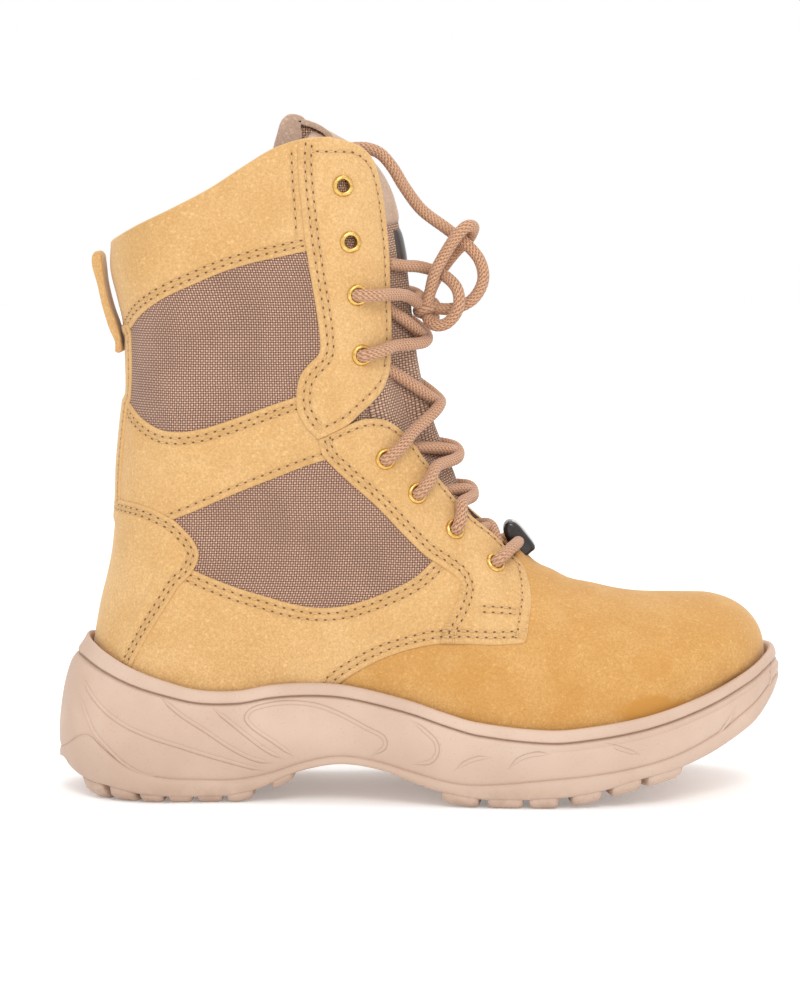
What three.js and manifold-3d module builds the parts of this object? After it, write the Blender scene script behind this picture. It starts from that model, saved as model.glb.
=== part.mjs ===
// Combat boot: a right boot, built in millimetres.
// +X runs from the heel to the toe, +Y to the inner (medial) side and +Z up.
// The last is a side-view region with a half-width over it: every section of the
// upper, and the sole's cup round it, is read from that one function.
import * as THREE from "three";
import Module from "manifold-3d";

const wasm = await Module();
wasm.setup();

// ---------------------------------------------------------------- named sizes
const LATERAL = -1; // the outer side
const MEDIAL = 1;
const WALL = 2.2; // the upper's leather or fabric with its lining
const GAP = 0.35; // between pieces that touch
const CUP_GAP = 0.56; // between the upper and the sole's cup, measured level
const INSOLE_THICKNESS = 4;
const INSOLE_INSET = 1.4; // from the upper's inner face
const COLUMNS = 22; // from the back seam to the front line, on one side
const CUP_RINGS = 3; // ring spans of the upper that the sole's cup covers
const UPPER_RINGS = 14; // ring spans of the upper in all
const RING_CROWDING = 1.45; // crowds the upper's rings toward the toe's dome
const CUTTER_WIDTH = 300; // wider than the boot
const LACE = 5; // lace diameter
const CORD_SIDES = 8;
const STRAND_SIDES = 6;
const EYELET = {
  hole: 2.5, barrel: 3.1, clearance: 0.65, flange: 4.4, seat: 1.3, height: 2.1, depth: 2, sides: 8,
};
const PUNCH_LENGTH = 12;
const LUG_DEPTH = 4.5;
const TONGUE_THICKNESS = 5;
const TONGUE_CLEARANCE = 1.4;
const TONGUE_CROWN = 8; // fall of the tongue's free edges behind its middle
const DEEPEST_TUCK = 40; // of the tongue under the facings
const TUCK_STEP = 0.2;

// ------------------------------------------------------------ short tables
// Side-view lines of the last, from the heel to the toe or from the bottom up.
const BACK_LINE = [
  { x: 17.5, z: 37 }, { x: 14.6, z: 47 }, { x: 13.9, z: 58 }, { x: 16.4, z: 76 },
  { x: 21, z: 97 }, { x: 24, z: 118 }, { x: 25, z: 138 }, { x: 26.8, z: 156 },
  { x: 28.4, z: 169 }, { x: 28.2, z: 182 }, { x: 27.8, z: 194 }, { x: 25.2, z: 207 },
  { x: 22.6, z: 219 }, { x: 22.8, z: 230 },
];
const FRONT_LINE = [
  { x: 290, z: 39 }, { x: 295.5, z: 47 }, { x: 297.2, z: 58 }, { x: 294.6, z: 68 },
  { x: 287.4, z: 76 }, { x: 276, z: 80.8 }, { x: 261, z: 81.7 }, { x: 244, z: 82.2 },
  { x: 228, z: 84.5 }, { x: 214, z: 88.8 }, { x: 202.6, z: 93.8 }, { x: 194.4, z: 101 },
  { x: 185, z: 112 }, { x: 174.6, z: 124 }, { x: 164.4, z: 137.6 }, { x: 155.2, z: 153 },
  { x: 149.4, z: 170 }, { x: 147, z: 188 }, { x: 146.4, z: 208 }, { x: 145.6, z: 228 },
  { x: 143.5, z: 246 }, { x: 140.5, z: 271 },
];
const FEATHER_LINE = [
  { x: 17.5, z: 37 }, { x: 60, z: 35.5 }, { x: 100, z: 32 }, { x: 140, z: 26 },
  { x: 180, z: 21.5 }, { x: 212, z: 20.5 }, { x: 240, z: 23 }, { x: 268, z: 30 }, { x: 290, z: 39 },
];
const COLLAR_LINE = [
  { x: 22.8, z: 230 }, { x: 35, z: 236.3 }, { x: 50, z: 243.2 }, { x: 66, z: 251.5 },
  { x: 80, z: 260.5 }, { x: 92, z: 267.6 }, { x: 104, z: 271.4 }, { x: 115, z: 272.2 },
  { x: 127, z: 271.8 }, { x: 140.5, z: 271 },
];
// Half-widths of the foot from its swung centre line, and how far that line swings.
const FOOT_WIDTHS = [
  { x: 14, lateral: 33.5, medial: 33.5, swing: 0 },
  { x: 45, lateral: 35, medial: 34.5, swing: 0 },
  { x: 80, lateral: 35, medial: 33, swing: 0 },
  { x: 112, lateral: 36.5, medial: 31, swing: -1 },
  { x: 145, lateral: 41.5, medial: 35, swing: -1 },
  { x: 178, lateral: 47.5, medial: 44.5, swing: 0 },
  { x: 208, lateral: 50.5, medial: 50.5, swing: 1.5 },
  { x: 240, lateral: 50, medial: 51, swing: 4 },
  { x: 270, lateral: 47.5, medial: 49, swing: 7 },
  { x: 297, lateral: 45, medial: 46, swing: 9 },
];
// Half-width of the leg, and the rounding of the back, by height.
const LEG_WIDTHS = [
  { z: 36, half: 33, round: 33 },
  { z: 60, half: 35.5, round: 34 },
  { z: 100, half: 33, round: 30 },
  { z: 135, half: 35.5, round: 29 },
  { z: 180, half: 37.5, round: 30 },
  { z: 230, half: 39, round: 31 },
  { z: 272, half: 39.5, round: 32 },
];
const LEG_STARTS = 55;
const LEG_FULL = 128;
// Rounding of the front line, along it from the toe's underside to the collar.
const FRONT_ROUND = [
  { along: 0, round: 50 }, { along: 0.1, round: 46 }, { along: 0.2, round: 38 },
  { along: 0.36, round: 42 }, { along: 0.5, round: 44 }, { along: 0.62, round: 38 },
  { along: 0.75, round: 31 }, { along: 1, round: 29 },
];
// Heights of the sole's lines, by distance from the heel: the rim, the line where the
// tread layer starts at its edge and inside it, and the line that the lugs stand on.
const SOLE_LINES = [
  { x: -1, rim: 66.5, tread: 21, shelf: 21, ground: 27 },
  { x: 4, rim: 66.5, tread: 22.5, shelf: 18, ground: 10 },
  { x: 10, rim: 66, tread: 24, shelf: 13.5, ground: 3.6 },
  { x: 15, rim: 63.6, tread: 24.5, shelf: 11, ground: 0.9 },
  { x: 20, rim: 61.2, tread: 22.5, shelf: 9.5, ground: 0 },
  { x: 32, rim: 56, tread: 14.5, shelf: 9, ground: 0 },
  { x: 46, rim: 51.6, tread: 10.6, shelf: 8.6, ground: 0 },
  { x: 60, rim: 48, tread: 9.7, shelf: 8.4, ground: 0 },
  { x: 76, rim: 47.6, tread: 9.7, shelf: 8.6, ground: 0 },
  { x: 90, rim: 50, tread: 12.6, shelf: 12, ground: 5 },
  { x: 104, rim: 51, tread: 17.4, shelf: 16.8, ground: 12 },
  { x: 118, rim: 50.6, tread: 20, shelf: 19.6, ground: 15.4 },
  { x: 132, rim: 48, tread: 18.6, shelf: 17.8, ground: 12.6 },
  { x: 148, rim: 43, tread: 14.2, shelf: 13.4, ground: 6.4 },
  { x: 162, rim: 38.4, tread: 10.6, shelf: 9.8, ground: 1.8 },
  { x: 175, rim: 34.9, tread: 9.5, shelf: 8.4, ground: 0 },
  { x: 204, rim: 32, tread: 12, shelf: 8.6, ground: 0 },
  { x: 222, rim: 33.4, tread: 13.8, shelf: 10.4, ground: 2.4 },
  { x: 240, rim: 36.4, tread: 16.8, shelf: 14.4, ground: 7 },
  { x: 258, rim: 41, tread: 21.6, shelf: 18.6, ground: 11.6 },
  { x: 276, rim: 47, tread: 29.5, shelf: 23.6, ground: 16.6 },
  { x: 290, rim: 54, tread: 39, shelf: 29.5, ground: 24 },
  { x: 298, rim: 58.5, tread: 46, shelf: 35, ground: 32 },
  { x: 304, rim: 60.5, tread: 49, shelf: 42, ground: 41 },
];
// Sole wall, from the rim's inner edge down: how far each level stands out from the
// upper at the heel, the sides and the toe, and its height between two sole lines
// (toward: 0 at the rim, 1 at the tread line) plus a drop in millimetres.
const MIDSOLE_WALL = [
  { heel: 2, side: 1.8, toe: 2, toward: 0, drop: -0.2 },
  { heel: 4.6, side: 4.4, toe: 4.4, toward: 0, drop: 1.6 },
  { heel: 6.4, side: 4.8, toe: 5.2, toward: 0, drop: 4.2 },
  { heel: 7.2, side: 3.6, toe: 4.9, toward: 0, drop: 5.6 },
  { heel: 9, side: 5, toe: 5.8, toward: 0, drop: 7.6 },
  { heel: 14, side: 6.5, toe: 6.4, toward: 0.55, drop: 0 },
  { heel: 15.2, side: 6.3, toe: 6.3, toward: 0.82, drop: 0 },
  { heel: 14.2, side: 5.3, toe: 5.3, toward: 1, drop: -GAP },
];
// Tread layer, from its top edge down (toward: 0 at the tread line, 1 at the ground).
const OUTSOLE_WALL = [
  { heel: 14.6, side: 5.8, toe: 5.8, toward: 0, drop: 0 },
  { heel: 15, side: 6.6, toe: 6.4, toward: 0, drop: 1.4 },
  { heel: 13.6, side: 6.4, toe: 5.6, toward: 0.6, drop: 0 },
  { heel: 8.5, side: 4.4, toe: 1, toward: 1, drop: 0 },
];
const SHELF = { heel: 4, side: -3, toe: -5 };
// Grooves between the side lugs: place, width and slant in degrees.
const LUG_GROOVES = [
  { x: 24, width: 2.6, slant: 24 }, { x: 36.4, width: 2.4, slant: 14 },
  { x: 48.5, width: 2.8, slant: 8 }, { x: 60.7, width: 2.6, slant: 0 },
  { x: 72, width: 2.8, slant: -8 }, { x: 86.6, width: 6.4, slant: -12 },
  { x: 176, width: 3, slant: 12 }, { x: 193.4, width: 2.4, slant: 6 },
  { x: 208.5, width: 5, slant: 0 }, { x: 224.7, width: 4.6, slant: -8 },
  { x: 239.6, width: 3.6, slant: -16 }, { x: 256.5, width: 3.4, slant: -24 },
  { x: 272, width: 3.2, slant: -34 },
];
const GROOVE_REACH = 24; // from the sole's edge inward
const SOLE_STANDOUT = 8; // of the sole's edge from the upper
// Bars across the middle of the tread: place and width.
const CENTRE_GROOVES = [
  { x: 42, width: 3 }, { x: 66, width: 3 }, { x: 184, width: 3 },
  { x: 202, width: 3 }, { x: 220, width: 3 }, { x: 240, width: 3 },
];
const CENTRE_GROOVE_LENGTH = 22;
// Front edge of the facings, in side view, from the throat's base to the collar.
const THROAT_EDGE = [
  { x: 194.5, z: 95.5 }, { x: 190, z: 99 }, { x: 187, z: 103.3 }, { x: 180.5, z: 110 },
  { x: 168, z: 122.3 }, { x: 159.6, z: 133.6 }, { x: 149.2, z: 149.5 }, { x: 143, z: 156.6 },
  { x: 136.8, z: 159.4 }, { x: 130.7, z: 159.2 }, { x: 124, z: 156.4 }, { x: 129.9, z: 161.9 },
  { x: 134.8, z: 168.4 }, { x: 138.1, z: 176 }, { x: 139.5, z: 188 }, { x: 139.6, z: 226 },
  { x: 138.9, z: 243 }, { x: 137.6, z: 255 }, { x: 134.4, z: 264 }, { x: 129, z: 269.2 },
  { x: 122, z: 272.6 },
];
// Eyelets from the throat's base to the collar, in side view.
const EYELETS = [
  { x: 182.4, z: 97.8 }, { x: 165.7, z: 111.8 }, { x: 150.4, z: 127 }, { x: 137.3, z: 141.4 },
  { x: 127.5, z: 184 }, { x: 125.9, z: 208.4 }, { x: 123.1, z: 229.9 }, { x: 120, z: 252.5 },
];
// Tongue, from inside the vamp to its top: the front line, the half-width, and the
// half-width of the throat, past which the tongue lies under the facings.
const TONGUE = [
  { x: 195, z: 86, half: 22, gap: 6 },
  { x: 185.5, z: 97, half: 25, gap: 8 },
  { x: 177.6, z: 107.6, half: 27, gap: 11 },
  { x: 170.5, z: 120, half: 28, gap: 14 },
  { x: 165.4, z: 134, half: 30, gap: 17 },
  { x: 159, z: 149.5, half: 31, gap: 19 },
  { x: 153.6, z: 166, half: 32, gap: 24 },
  { x: 150.2, z: 182, half: 32, gap: 25 },
  { x: 148, z: 200, half: 32, gap: 25 },
  { x: 145.8, z: 220, half: 32, gap: 25 },
  { x: 142.6, z: 236, half: 32, gap: 24 },
  { x: 138.4, z: 251, half: 30, gap: 22 },
  { x: 132, z: 261.5, half: 28, gap: 22 },
  { x: 124.5, z: 268, half: 26, gap: 22 },
  { x: 116, z: 273, half: 24, gap: 22 },
  { x: 107, z: 278, half: 21, gap: 22 },
];

// Free-standing strip at the back of the collar, in side view.
const PULL_TAB = [
  { x: 24.9, z: 184 }, { x: 24.7, z: 188 }, { x: 22.3, z: 193.8 }, { x: 19.8, z: 202 },
  { x: 17.6, z: 212 }, { x: 15.4, z: 220.6 }, { x: 15.8, z: 224.4 }, { x: 17.4, z: 225.8 },
  { x: 19.2, z: 224.4 }, { x: 19.8, z: 221 }, { x: 20.7, z: 213 }, { x: 22.8, z: 203.6 },
  { x: 25.6, z: 195.5 }, { x: 27, z: 190 }, { x: 27.2, z: 184 },
];
const PULL_TAB_WIDTH = 20;
// Folded loop over the tongue's top edge, in side view.
const TONGUE_LOOP = [
  { x: 103.6, z: 280.2 }, { x: 101.3, z: 281.6 }, { x: 97.4, z: 281.8 }, { x: 94.5, z: 279.4 },
  { x: 92.6, z: 274 }, { x: 91.2, z: 266 }, { x: 94, z: 265.6 }, { x: 95.4, z: 272.6 },
  { x: 97.6, z: 277 }, { x: 100.2, z: 278.2 }, { x: 102.2, z: 276.6 },
];
const TONGUE_LOOP_WIDTH = 34;
// Plastic keeper at the throat's base, in side view, and the hole that the lace runs through.
const KEEPER = [
  { x: 186.9, z: 108.4 }, { x: 187, z: 110.9 }, { x: 188.5, z: 112.6 }, { x: 191.3, z: 112 },
  { x: 195.4, z: 107.6 }, { x: 199.4, z: 101.6 }, { x: 198, z: 100.2 }, { x: 194.6, z: 97.9 },
  { x: 192.2, z: 98.9 }, { x: 188.4, z: 104.9 }, { x: 187.4, z: 106.6 },
];
const KEEPER_WIDTH = 13;
const KEEPER_HOLE = { x: 192.8, z: 104.4, radius: 2.95 };
// Crossings of the lace: the eyelet it leaves, the facing's edge it goes over, and the
// shares of the tongue's length where the strands meet and where they go under.
const CROSSINGS = [
  { eyelet: 0, middle: 0.132, far: 0.158 },
  { eyelet: 1, edge: { x: 166.4, z: 120.6 }, middle: 0.22, far: 0.25 },
  { eyelet: 2, edge: { x: 155.6, z: 136 }, middle: 0.295, far: 0.325 },
  { eyelet: 3, edge: { x: 145.8, z: 151 }, middle: 0.385, far: 0.42 },
  { eyelet: 4, edge: { x: 138, z: 187.4 }, middle: 0.497, far: 0.525 },
];
const LACE_CLEARANCE = 2.2;
// Where the bottom bar and the top strands pass the facing's edge, and how they go on.
const BAR_EDGE = { x: 188.4, z: 102 };
const BAR_TURN = 7;
const TOP_EDGE = { x: 137.5, z: 208.6 };
const TOP_STRAND = [
  { x: 147.6, out: 15, shift: -2, z: 209.8 },
  { x: 150.6, out: 6, shift: -7, z: 213.4 },
];
// The knot's lowest middle point, and the radius, turns and height of its winding.
const KNOT = { x: 153.9, y: -8.5, z: 198.2, radius: 3.2, turns: 1.6, rise: 9 };
// Routes of the lace's free stretches, by hand.
const LACE_END = [
  [162.2, -10, 201.8], [167.6, -11.6, 202.8], [173.6, -12, 206.5], [177.4, -11, 213.9],
  [176.1, -9, 221.7], [170.4, -8, 228.7], [162.5, -7, 234.9], [152.1, -8, 242.7],
  [144.8, -13, 252.2], [139.6, -17.5, 260.6], [134.8, -18.8, 265.8], [129.8, -20.5, 267.8],
  [125.2, -21.5, 268], [121.4, -21.5, 267.6],
];
const LACE_BOW_LOOP = [
  [155.4, -13.5, 208.8], [157.4, -15, 216.9], [162, -14.5, 225.5], [166.6, -14.2, 232.4],
  [170.4, -12.5, 236], [173.4, -7.6, 235.6], [171.4, -2, 230.6], [166.4, -0.6, 225.6],
  [161.6, -0.8, 219.6], [157.8, -1.4, 213.6], [155.6, -2.6, 208.8],
];
const LACE_SMALL_LOOP = [
  [157.6, -14, 194.6], [162.6, -16, 196.2], [167, -17.8, 202.6], [166.8, -16, 209.6],
  [162.6, -11.4, 214.8], [156.6, -8.2, 217.8], [150.6, -10.6, 219.4], [145.4, -14.6, 219.8],
];

// ------------------------------------------------------------ interpolation
/** Smooth value of one column of a table at a place between its rows. */
function lookUp(table, key, column, at) {
  const last = table.length - 1;
  if (at <= table[0][key]) return table[0][column];
  if (at >= table[last][key]) return table[last][column];
  let i = 0;
  while (table[i + 1][key] < at) i += 1;
  const slope = (j) => {
    const [a, b] = [table[Math.max(j - 1, 0)], table[Math.min(j + 1, last)]];
    return (b[column] - a[column]) / (b[key] - a[key]);
  };
  const span = table[i + 1][key] - table[i][key];
  const t = (at - table[i][key]) / span;
  const [p, q] = [table[i][column], table[i + 1][column]];
  const [m, n] = [slope(i) * span, slope(i + 1) * span];
  return p * (2 * t ** 3 - 3 * t * t + 1) + m * (t ** 3 - 2 * t * t + t)
    + q * (3 * t * t - 2 * t ** 3) + n * (t ** 3 - t * t);
}

const { smoothstep, lerp, clamp, degToRad } = THREE.MathUtils;

/** Smooth side-view curve through a table's points, read by its share of length. */
function sideCurve(rows) {
  const curve = new THREE.CatmullRomCurve3(
    rows.map(({ x, z }) => new THREE.Vector3(x, 0, z)), false, "centripetal");
  curve.arcLengthDivisions = 600;
  return curve;
}

const back = sideCurve(BACK_LINE);
const front = sideCurve(FRONT_LINE);
const feather = sideCurve(FEATHER_LINE);
const collar = sideCurve(COLLAR_LINE);

const BACK_SAMPLES = back.getSpacedPoints(160).map(({ x, z }) => ({ x, z }));
const FRONT_SAMPLES = front.getSpacedPoints(160).map((point, i, all) => ({
  point, round: lookUp(FRONT_ROUND, "along", "round", i / (all.length - 1)),
}));

/** Place of the back line at a height. */
function backX(z) {
  const rows = BACK_SAMPLES;
  if (z <= rows[0].z) return rows[0].x;
  const i = rows.findIndex((row) => row.z > z);
  if (i < 0) return rows[rows.length - 1].x;
  const t = (z - rows[i - 1].z) / (rows[i].z - rows[i - 1].z);
  return lerp(rows[i - 1].x, rows[i].x, t);
}

// ------------------------------------------------------------ the last
const swing = (x) => lookUp(FOOT_WIDTHS, "x", "swing", x);

/** Share of the full half-width that is left near a rounded edge. */
const roundOff = (closeness) => Math.sqrt(Math.max(0, 1 - clamp(closeness, 0, 1) ** 2));

/** How close a side-view point is to the front line: 1 on it, 0 past its rounding. */
function frontCloseness(x, z) {
  let closest = 0;
  const here = new THREE.Vector3(x, 0, z);
  const foot = new THREE.Vector3();
  const piece = new THREE.Line3();
  for (let i = 1; i < FRONT_SAMPLES.length; i += 1) {
    const [a, b] = [FRONT_SAMPLES[i - 1], FRONT_SAMPLES[i]];
    piece.set(a.point, b.point);
    const t = piece.closestPointToPointParameter(here, true);
    const distance = piece.at(t, foot).distanceTo(here);
    closest = Math.max(closest, 1 - distance / lerp(a.round, b.round, t));
  }
  return closest;
}

/** The last's half-width on one side over a side-view point. */
function halfWidth(side, x, z) {
  const leg = smoothstep(z, LEG_STARTS, LEG_FULL);
  const footHalf = lookUp(FOOT_WIDTHS, "x", side === LATERAL ? "lateral" : "medial", x);
  const full = lerp(footHalf, lookUp(LEG_WIDTHS, "z", "half", z), leg);
  const backCloseness = 1 - (x - backX(z)) / lookUp(LEG_WIDTHS, "z", "round", z);
  return full * roundOff(backCloseness) * roundOff(frontCloseness(x, z));
}

/** Side-view point at a share a from the back to the front and b from the feather up. */
function sidePoint(a, b) {
  const u = (1 - Math.cos(Math.PI * a)) / 2;
  const [low, high] = [feather.getPointAt(u), collar.getPointAt(u)];
  const [behind, ahead] = [back.getPointAt(b), front.getPointAt(b)];
  const blend = (key) => {
    const edges = lerp(low[key], high[key], b) + lerp(behind[key], ahead[key], u);
    const lowEdge = lerp(BACK_LINE[0][key], FRONT_LINE[0][key], u);
    const highEdge = lerp(BACK_LINE[BACK_LINE.length - 1][key],
      FRONT_LINE[FRONT_LINE.length - 1][key], u);
    return edges - lerp(lowEdge, highEdge, b);
  };
  return { x: blend("x"), z: blend("z") };
}

/** Point on the last: w runs 0..1 round the lateral side and 1..2 back round the medial. */
function lastPoint(w, b) {
  const turn = ((w % 2) + 2) % 2;
  const side = turn <= 1 ? LATERAL : MEDIAL;
  const a = turn <= 1 ? turn : 2 - turn;
  const { x, z } = sidePoint(a, b);
  const half = a === 0 || a === 1 ? 0 : halfWidth(side, x, z);
  return new THREE.Vector3(x, swing(x) + side * half, z);
}

/** Outward unit normal of the last. */
function lastNormal(w, b) {
  const step = 0.012;
  const [b0, b1] = [Math.max(0, b - step), Math.min(1, b + step)];
  const across = lastPoint(w + step, b).sub(lastPoint(w - step, b));
  const up = lastPoint(w, b1).sub(lastPoint(w, b0));
  return across.cross(up).normalize();
}

/** Outward normal of the last, laid level. */
const levelNormal = (w, b) => lastNormal(w, b).setZ(0).normalize();

/** Point at a distance out from the last, negative inside it. */
const offLast = (w, b, out) => lastPoint(w, b).addScaledVector(lastNormal(w, b), out);

/** Point and outward normal over a side-view point, on one side of the last. */
function overSide(side, x, z) {
  const at = (dx, dz) => new THREE.Vector3(
    x + dx, swing(x + dx) + side * halfWidth(side, x + dx, z + dz), z + dz);
  const along = at(0.5, 0).sub(at(-0.5, 0));
  const up = at(0, 0.5).sub(at(0, -0.5));
  const normal = along.cross(up).normalize().multiplyScalar(-side);
  return { point: at(0, 0), normal };
}

const soleLine = (line, x) => Math.max(0, lookUp(SOLE_LINES, "x", line, x));

/** Share b at which the last meets the sole's rim. */
function rimShare(w) {
  let [low, high] = [0, 0.5];
  for (let i = 0; i < 24; i += 1) {
    const middle = (low + high) / 2;
    const { x, z } = lastPoint(w, middle);
    if (z < soleLine("rim", x)) low = middle;
    else high = middle;
  }
  return (low + high) / 2;
}

const COLUMN_SHARES = Array.from({ length: 2 * COLUMNS }, (_, i) => i / COLUMNS);
const RIM_SHARES = COLUMN_SHARES.map(rimShare);

/** Ring share b of ring j at column i: the first rings lie inside the sole's cup. */
function ringShare(i, j) {
  const rim = RIM_SHARES[i];
  if (j <= CUP_RINGS) return (rim * j) / CUP_RINGS;
  return lerp(rim, 1, ((j - CUP_RINGS) / (UPPER_RINGS - CUP_RINGS)) ** RING_CROWDING);
}

// ------------------------------------------------------------ mesh helpers
/** Closed geometry from rings of equal length: the ends are joined, or capped by ladders.
 * Rings that start inside a cup and end outside it are turned round. */
function ringSolid(rings, { closed = false, insideFirst = false } = {}) {
  const columns = rings[0].length;
  const positions = rings.flat().flatMap((p) => [p.x, p.y, p.z]);
  const faces = [];
  const spans = closed ? rings.length : rings.length - 1;
  for (let j = 0; j < spans; j += 1) {
    const [low, high] = [j * columns, ((j + 1) % rings.length) * columns];
    for (let i = 0; i < columns; i += 1) {
      const next = (i + 1) % columns;
      faces.push(low + i, low + next, high + next, low + i, high + next, high + i);
    }
  }
  if (!closed) {
    faces.push(...ladder(columns, 0, false));
    faces.push(...ladder(columns, (rings.length - 1) * columns, true));
  }
  if (insideFirst) faces.reverse();
  return indexed(positions, faces);
}

/** Cap of a ring whose first and middle columns are its ends, as rungs between sides. */
function ladder(columns, start, upward) {
  const faces = [];
  const face = (a, b, c) => {
    const [second, third] = upward ? [b, c] : [c, b];
    faces.push(start + a, start + second, start + third);
  };
  for (let i = 0; i < columns / 2; i += 1) {
    const [near, nearNext] = [i, i + 1];
    const [far, farNext] = [(columns - i) % columns, columns - i - 1];
    if (near !== far) face(near, nearNext, far);
    if (nearNext !== farNext) face(nearNext, farNext, far);
  }
  return faces;
}

function indexed(positions, faces) {
  const geometry = new THREE.BufferGeometry();
  geometry.setAttribute("position", new THREE.Float32BufferAttribute(positions, 3));
  geometry.setIndex(faces);
  geometry.computeVertexNormals();
  return geometry;
}

/** Solid plate from a grid of points on its face and one on its back. */
function plateSolid(face, behind) {
  const rings = face.map((row, i) => [...row, ...behind[i].slice().reverse()]);
  return ringSolidAlong(rings);
}

/** Loft of closed sections with a fan of triangles on each end. */
function ringSolidAlong(rings) {
  const columns = rings[0].length;
  const positions = rings.flat().flatMap((p) => [p.x, p.y, p.z]);
  const faces = [];
  for (let j = 0; j + 1 < rings.length; j += 1) {
    for (let i = 0; i < columns; i += 1) {
      const next = (i + 1) % columns;
      const [low, high] = [j * columns, (j + 1) * columns];
      faces.push(low + i, low + next, high + next, low + i, high + next, high + i);
    }
  }
  const half = columns / 2;
  const end = (j, flip) => {
    for (let i = 0; i + 1 < half; i += 1) {
      const quad = [i, i + 1, columns - 2 - i, columns - 1 - i].map((k) => j * columns + k);
      const [a, b, c, d] = flip ? quad.reverse() : quad;
      faces.push(a, b, c, a, c, d);
    }
  };
  end(0, true);
  end(rings.length - 1, false);
  return indexed(positions, faces);
}

/** Welded triangle list of a geometry. */
function weld(geometry) {
  const position = geometry.attributes.position;
  const order = geometry.index
    ? Array.from(geometry.index.array)
    : Array.from({ length: position.count }, (_, i) => i);
  const seen = new Map();
  const vertices = [];
  const place = (i) => {
    const p = [position.getX(i), position.getY(i), position.getZ(i)];
    const key = p.map((v) => Math.round(v * 1e4)).join(",");
    if (!seen.has(key)) {
      seen.set(key, vertices.length / 3);
      vertices.push(...p);
    }
    return seen.get(key);
  };
  const triangles = [];
  for (let i = 0; i < order.length; i += 3) {
    const [a, b, c] = [place(order[i]), place(order[i + 1]), place(order[i + 2])];
    if (a !== b && b !== c && c !== a) triangles.push(a, b, c);
  }
  return { vertices, triangles };
}

function toManifold(geometry) {
  const { vertices, triangles } = weld(geometry);
  const mesh = new wasm.Mesh({
    numProp: 3,
    vertProperties: new Float32Array(vertices),
    triVerts: new Uint32Array(triangles),
  });
  return new wasm.Manifold(mesh);
}

function toGeometry(manifold) {
  const mesh = manifold.getMesh();
  const positions = [];
  for (let i = 0; i < mesh.vertProperties.length; i += mesh.numProp) {
    positions.push(...mesh.vertProperties.slice(i, i + 3));
  }
  return indexed(positions, Array.from(mesh.triVerts));
}

const joined = (geometries) => toGeometry(
  geometries.map(toManifold).reduce((all, one) => all.add(one)));

const cut = (body, cutters) => toGeometry(cutters.map(toManifold)
  .reduce((rest, cutter) => rest.subtract(cutter), toManifold(body)));

// ------------------------------------------------------------ upper
function upperShell() {
  const rings = (out) => Array.from({ length: UPPER_RINGS + 1 }, (_, j) => (
    COLUMN_SHARES.map((w, i) => offLast(w, ringShare(i, j), out))));
  const [outer, inner] = [rings(0), rings(-WALL)];
  return ringSolid([...outer, ...inner.reverse()], { closed: true });
}

/** Solid of a side-view outline, of a width across the boot. */
function sideSlab(outline, width) {
  const shape = new THREE.Shape(outline.map(({ x, z }) => new THREE.Vector2(x, z)));
  const slab = new THREE.ExtrudeGeometry(shape, { depth: width, steps: 1, bevelEnabled: false });
  return slab.rotateX(Math.PI / 2).translate(0, width / 2, 0);
}

function throatCutter() {
  const beyond = [{ x: 122, z: 300 }, { x: 190, z: 300 }, { x: 230, z: 130 }];
  return sideSlab([...THROAT_EDGE, ...beyond], CUTTER_WIDTH);
}

/** Turns a solid made along +Y so that it stands on the last at an eyelet. */
function standOnLast(geometry, side, { x, z }) {
  const { point, normal } = overSide(side, x, z);
  const turn = new THREE.Quaternion().setFromUnitVectors(new THREE.Vector3(0, 1, 0), normal);
  return geometry.applyQuaternion(turn).translate(point.x, point.y, point.z);
}

function eyeletHole(side, place) {
  const radius = EYELET.barrel + EYELET.clearance;
  const hole = new THREE.CylinderGeometry(radius, radius, PUNCH_LENGTH, EYELET.sides);
  return standOnLast(hole, side, place);
}

function upper() {
  const holes = [LATERAL, MEDIAL]
    .flatMap((side) => EYELETS.map((place) => eyeletHole(side, place)));
  return cut(upperShell(), [throatCutter(), ...holes]);
}

function eyelet(side, place) {
  const { hole, barrel, flange, seat, height, depth, sides } = EYELET;
  const profile = [[hole, -depth], [barrel, -depth], [barrel, seat], [flange, seat], [hole, height]];
  const points = [...profile, profile[0]].map(([r, y]) => new THREE.Vector2(r, y));
  return standOnLast(new THREE.LatheGeometry(points, sides), side, place);
}

// ------------------------------------------------------------ sole
/** Offset of a sole level from the upper: its heel, side and toe values blended. */
function levelOffset(level, w) {
  const a = w <= 1 ? w : 2 - w;
  const toHeel = 1 - smoothstep(a, 0.02, 0.3);
  const toToe = smoothstep(a, 0.74, 0.97);
  return level.side + (level.heel - level.side) * toHeel + (level.toe - level.side) * toToe;
}

/** Ring of a sole level round the upper's outline at the rim. */
function soleRing(level, upperLine, lowerLine) {
  return COLUMN_SHARES.map((w, i) => {
    const rim = lastPoint(w, RIM_SHARES[i]);
    const place = rim.addScaledVector(levelNormal(w, RIM_SHARES[i]), levelOffset(level, w));
    const [from, to] = [soleLine(upperLine, place.x), soleLine(lowerLine, place.x)];
    return place.setZ(lerp(from, Math.min(from, to), level.toward) - level.drop);
  });
}

/** The cup's inner wall, a gap away from the upper's outer face. */
const cupRing = (j) => COLUMN_SHARES.map((w, i) => {
  const place = lastPoint(w, ringShare(i, j));
  place.addScaledVector(levelNormal(w, ringShare(i, j)), CUP_GAP);
  return place.setZ(place.z - (j ? 0 : GAP));
});

/** Ring inside the tread layer's edge, where the two layers of the sole meet. */
const shelfRing = ({ out, drop }) => soleRing(
  { heel: SHELF.heel + out, side: SHELF.side + out, toe: SHELF.toe + out, toward: 0, drop },
  "shelf", "shelf");

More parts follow.
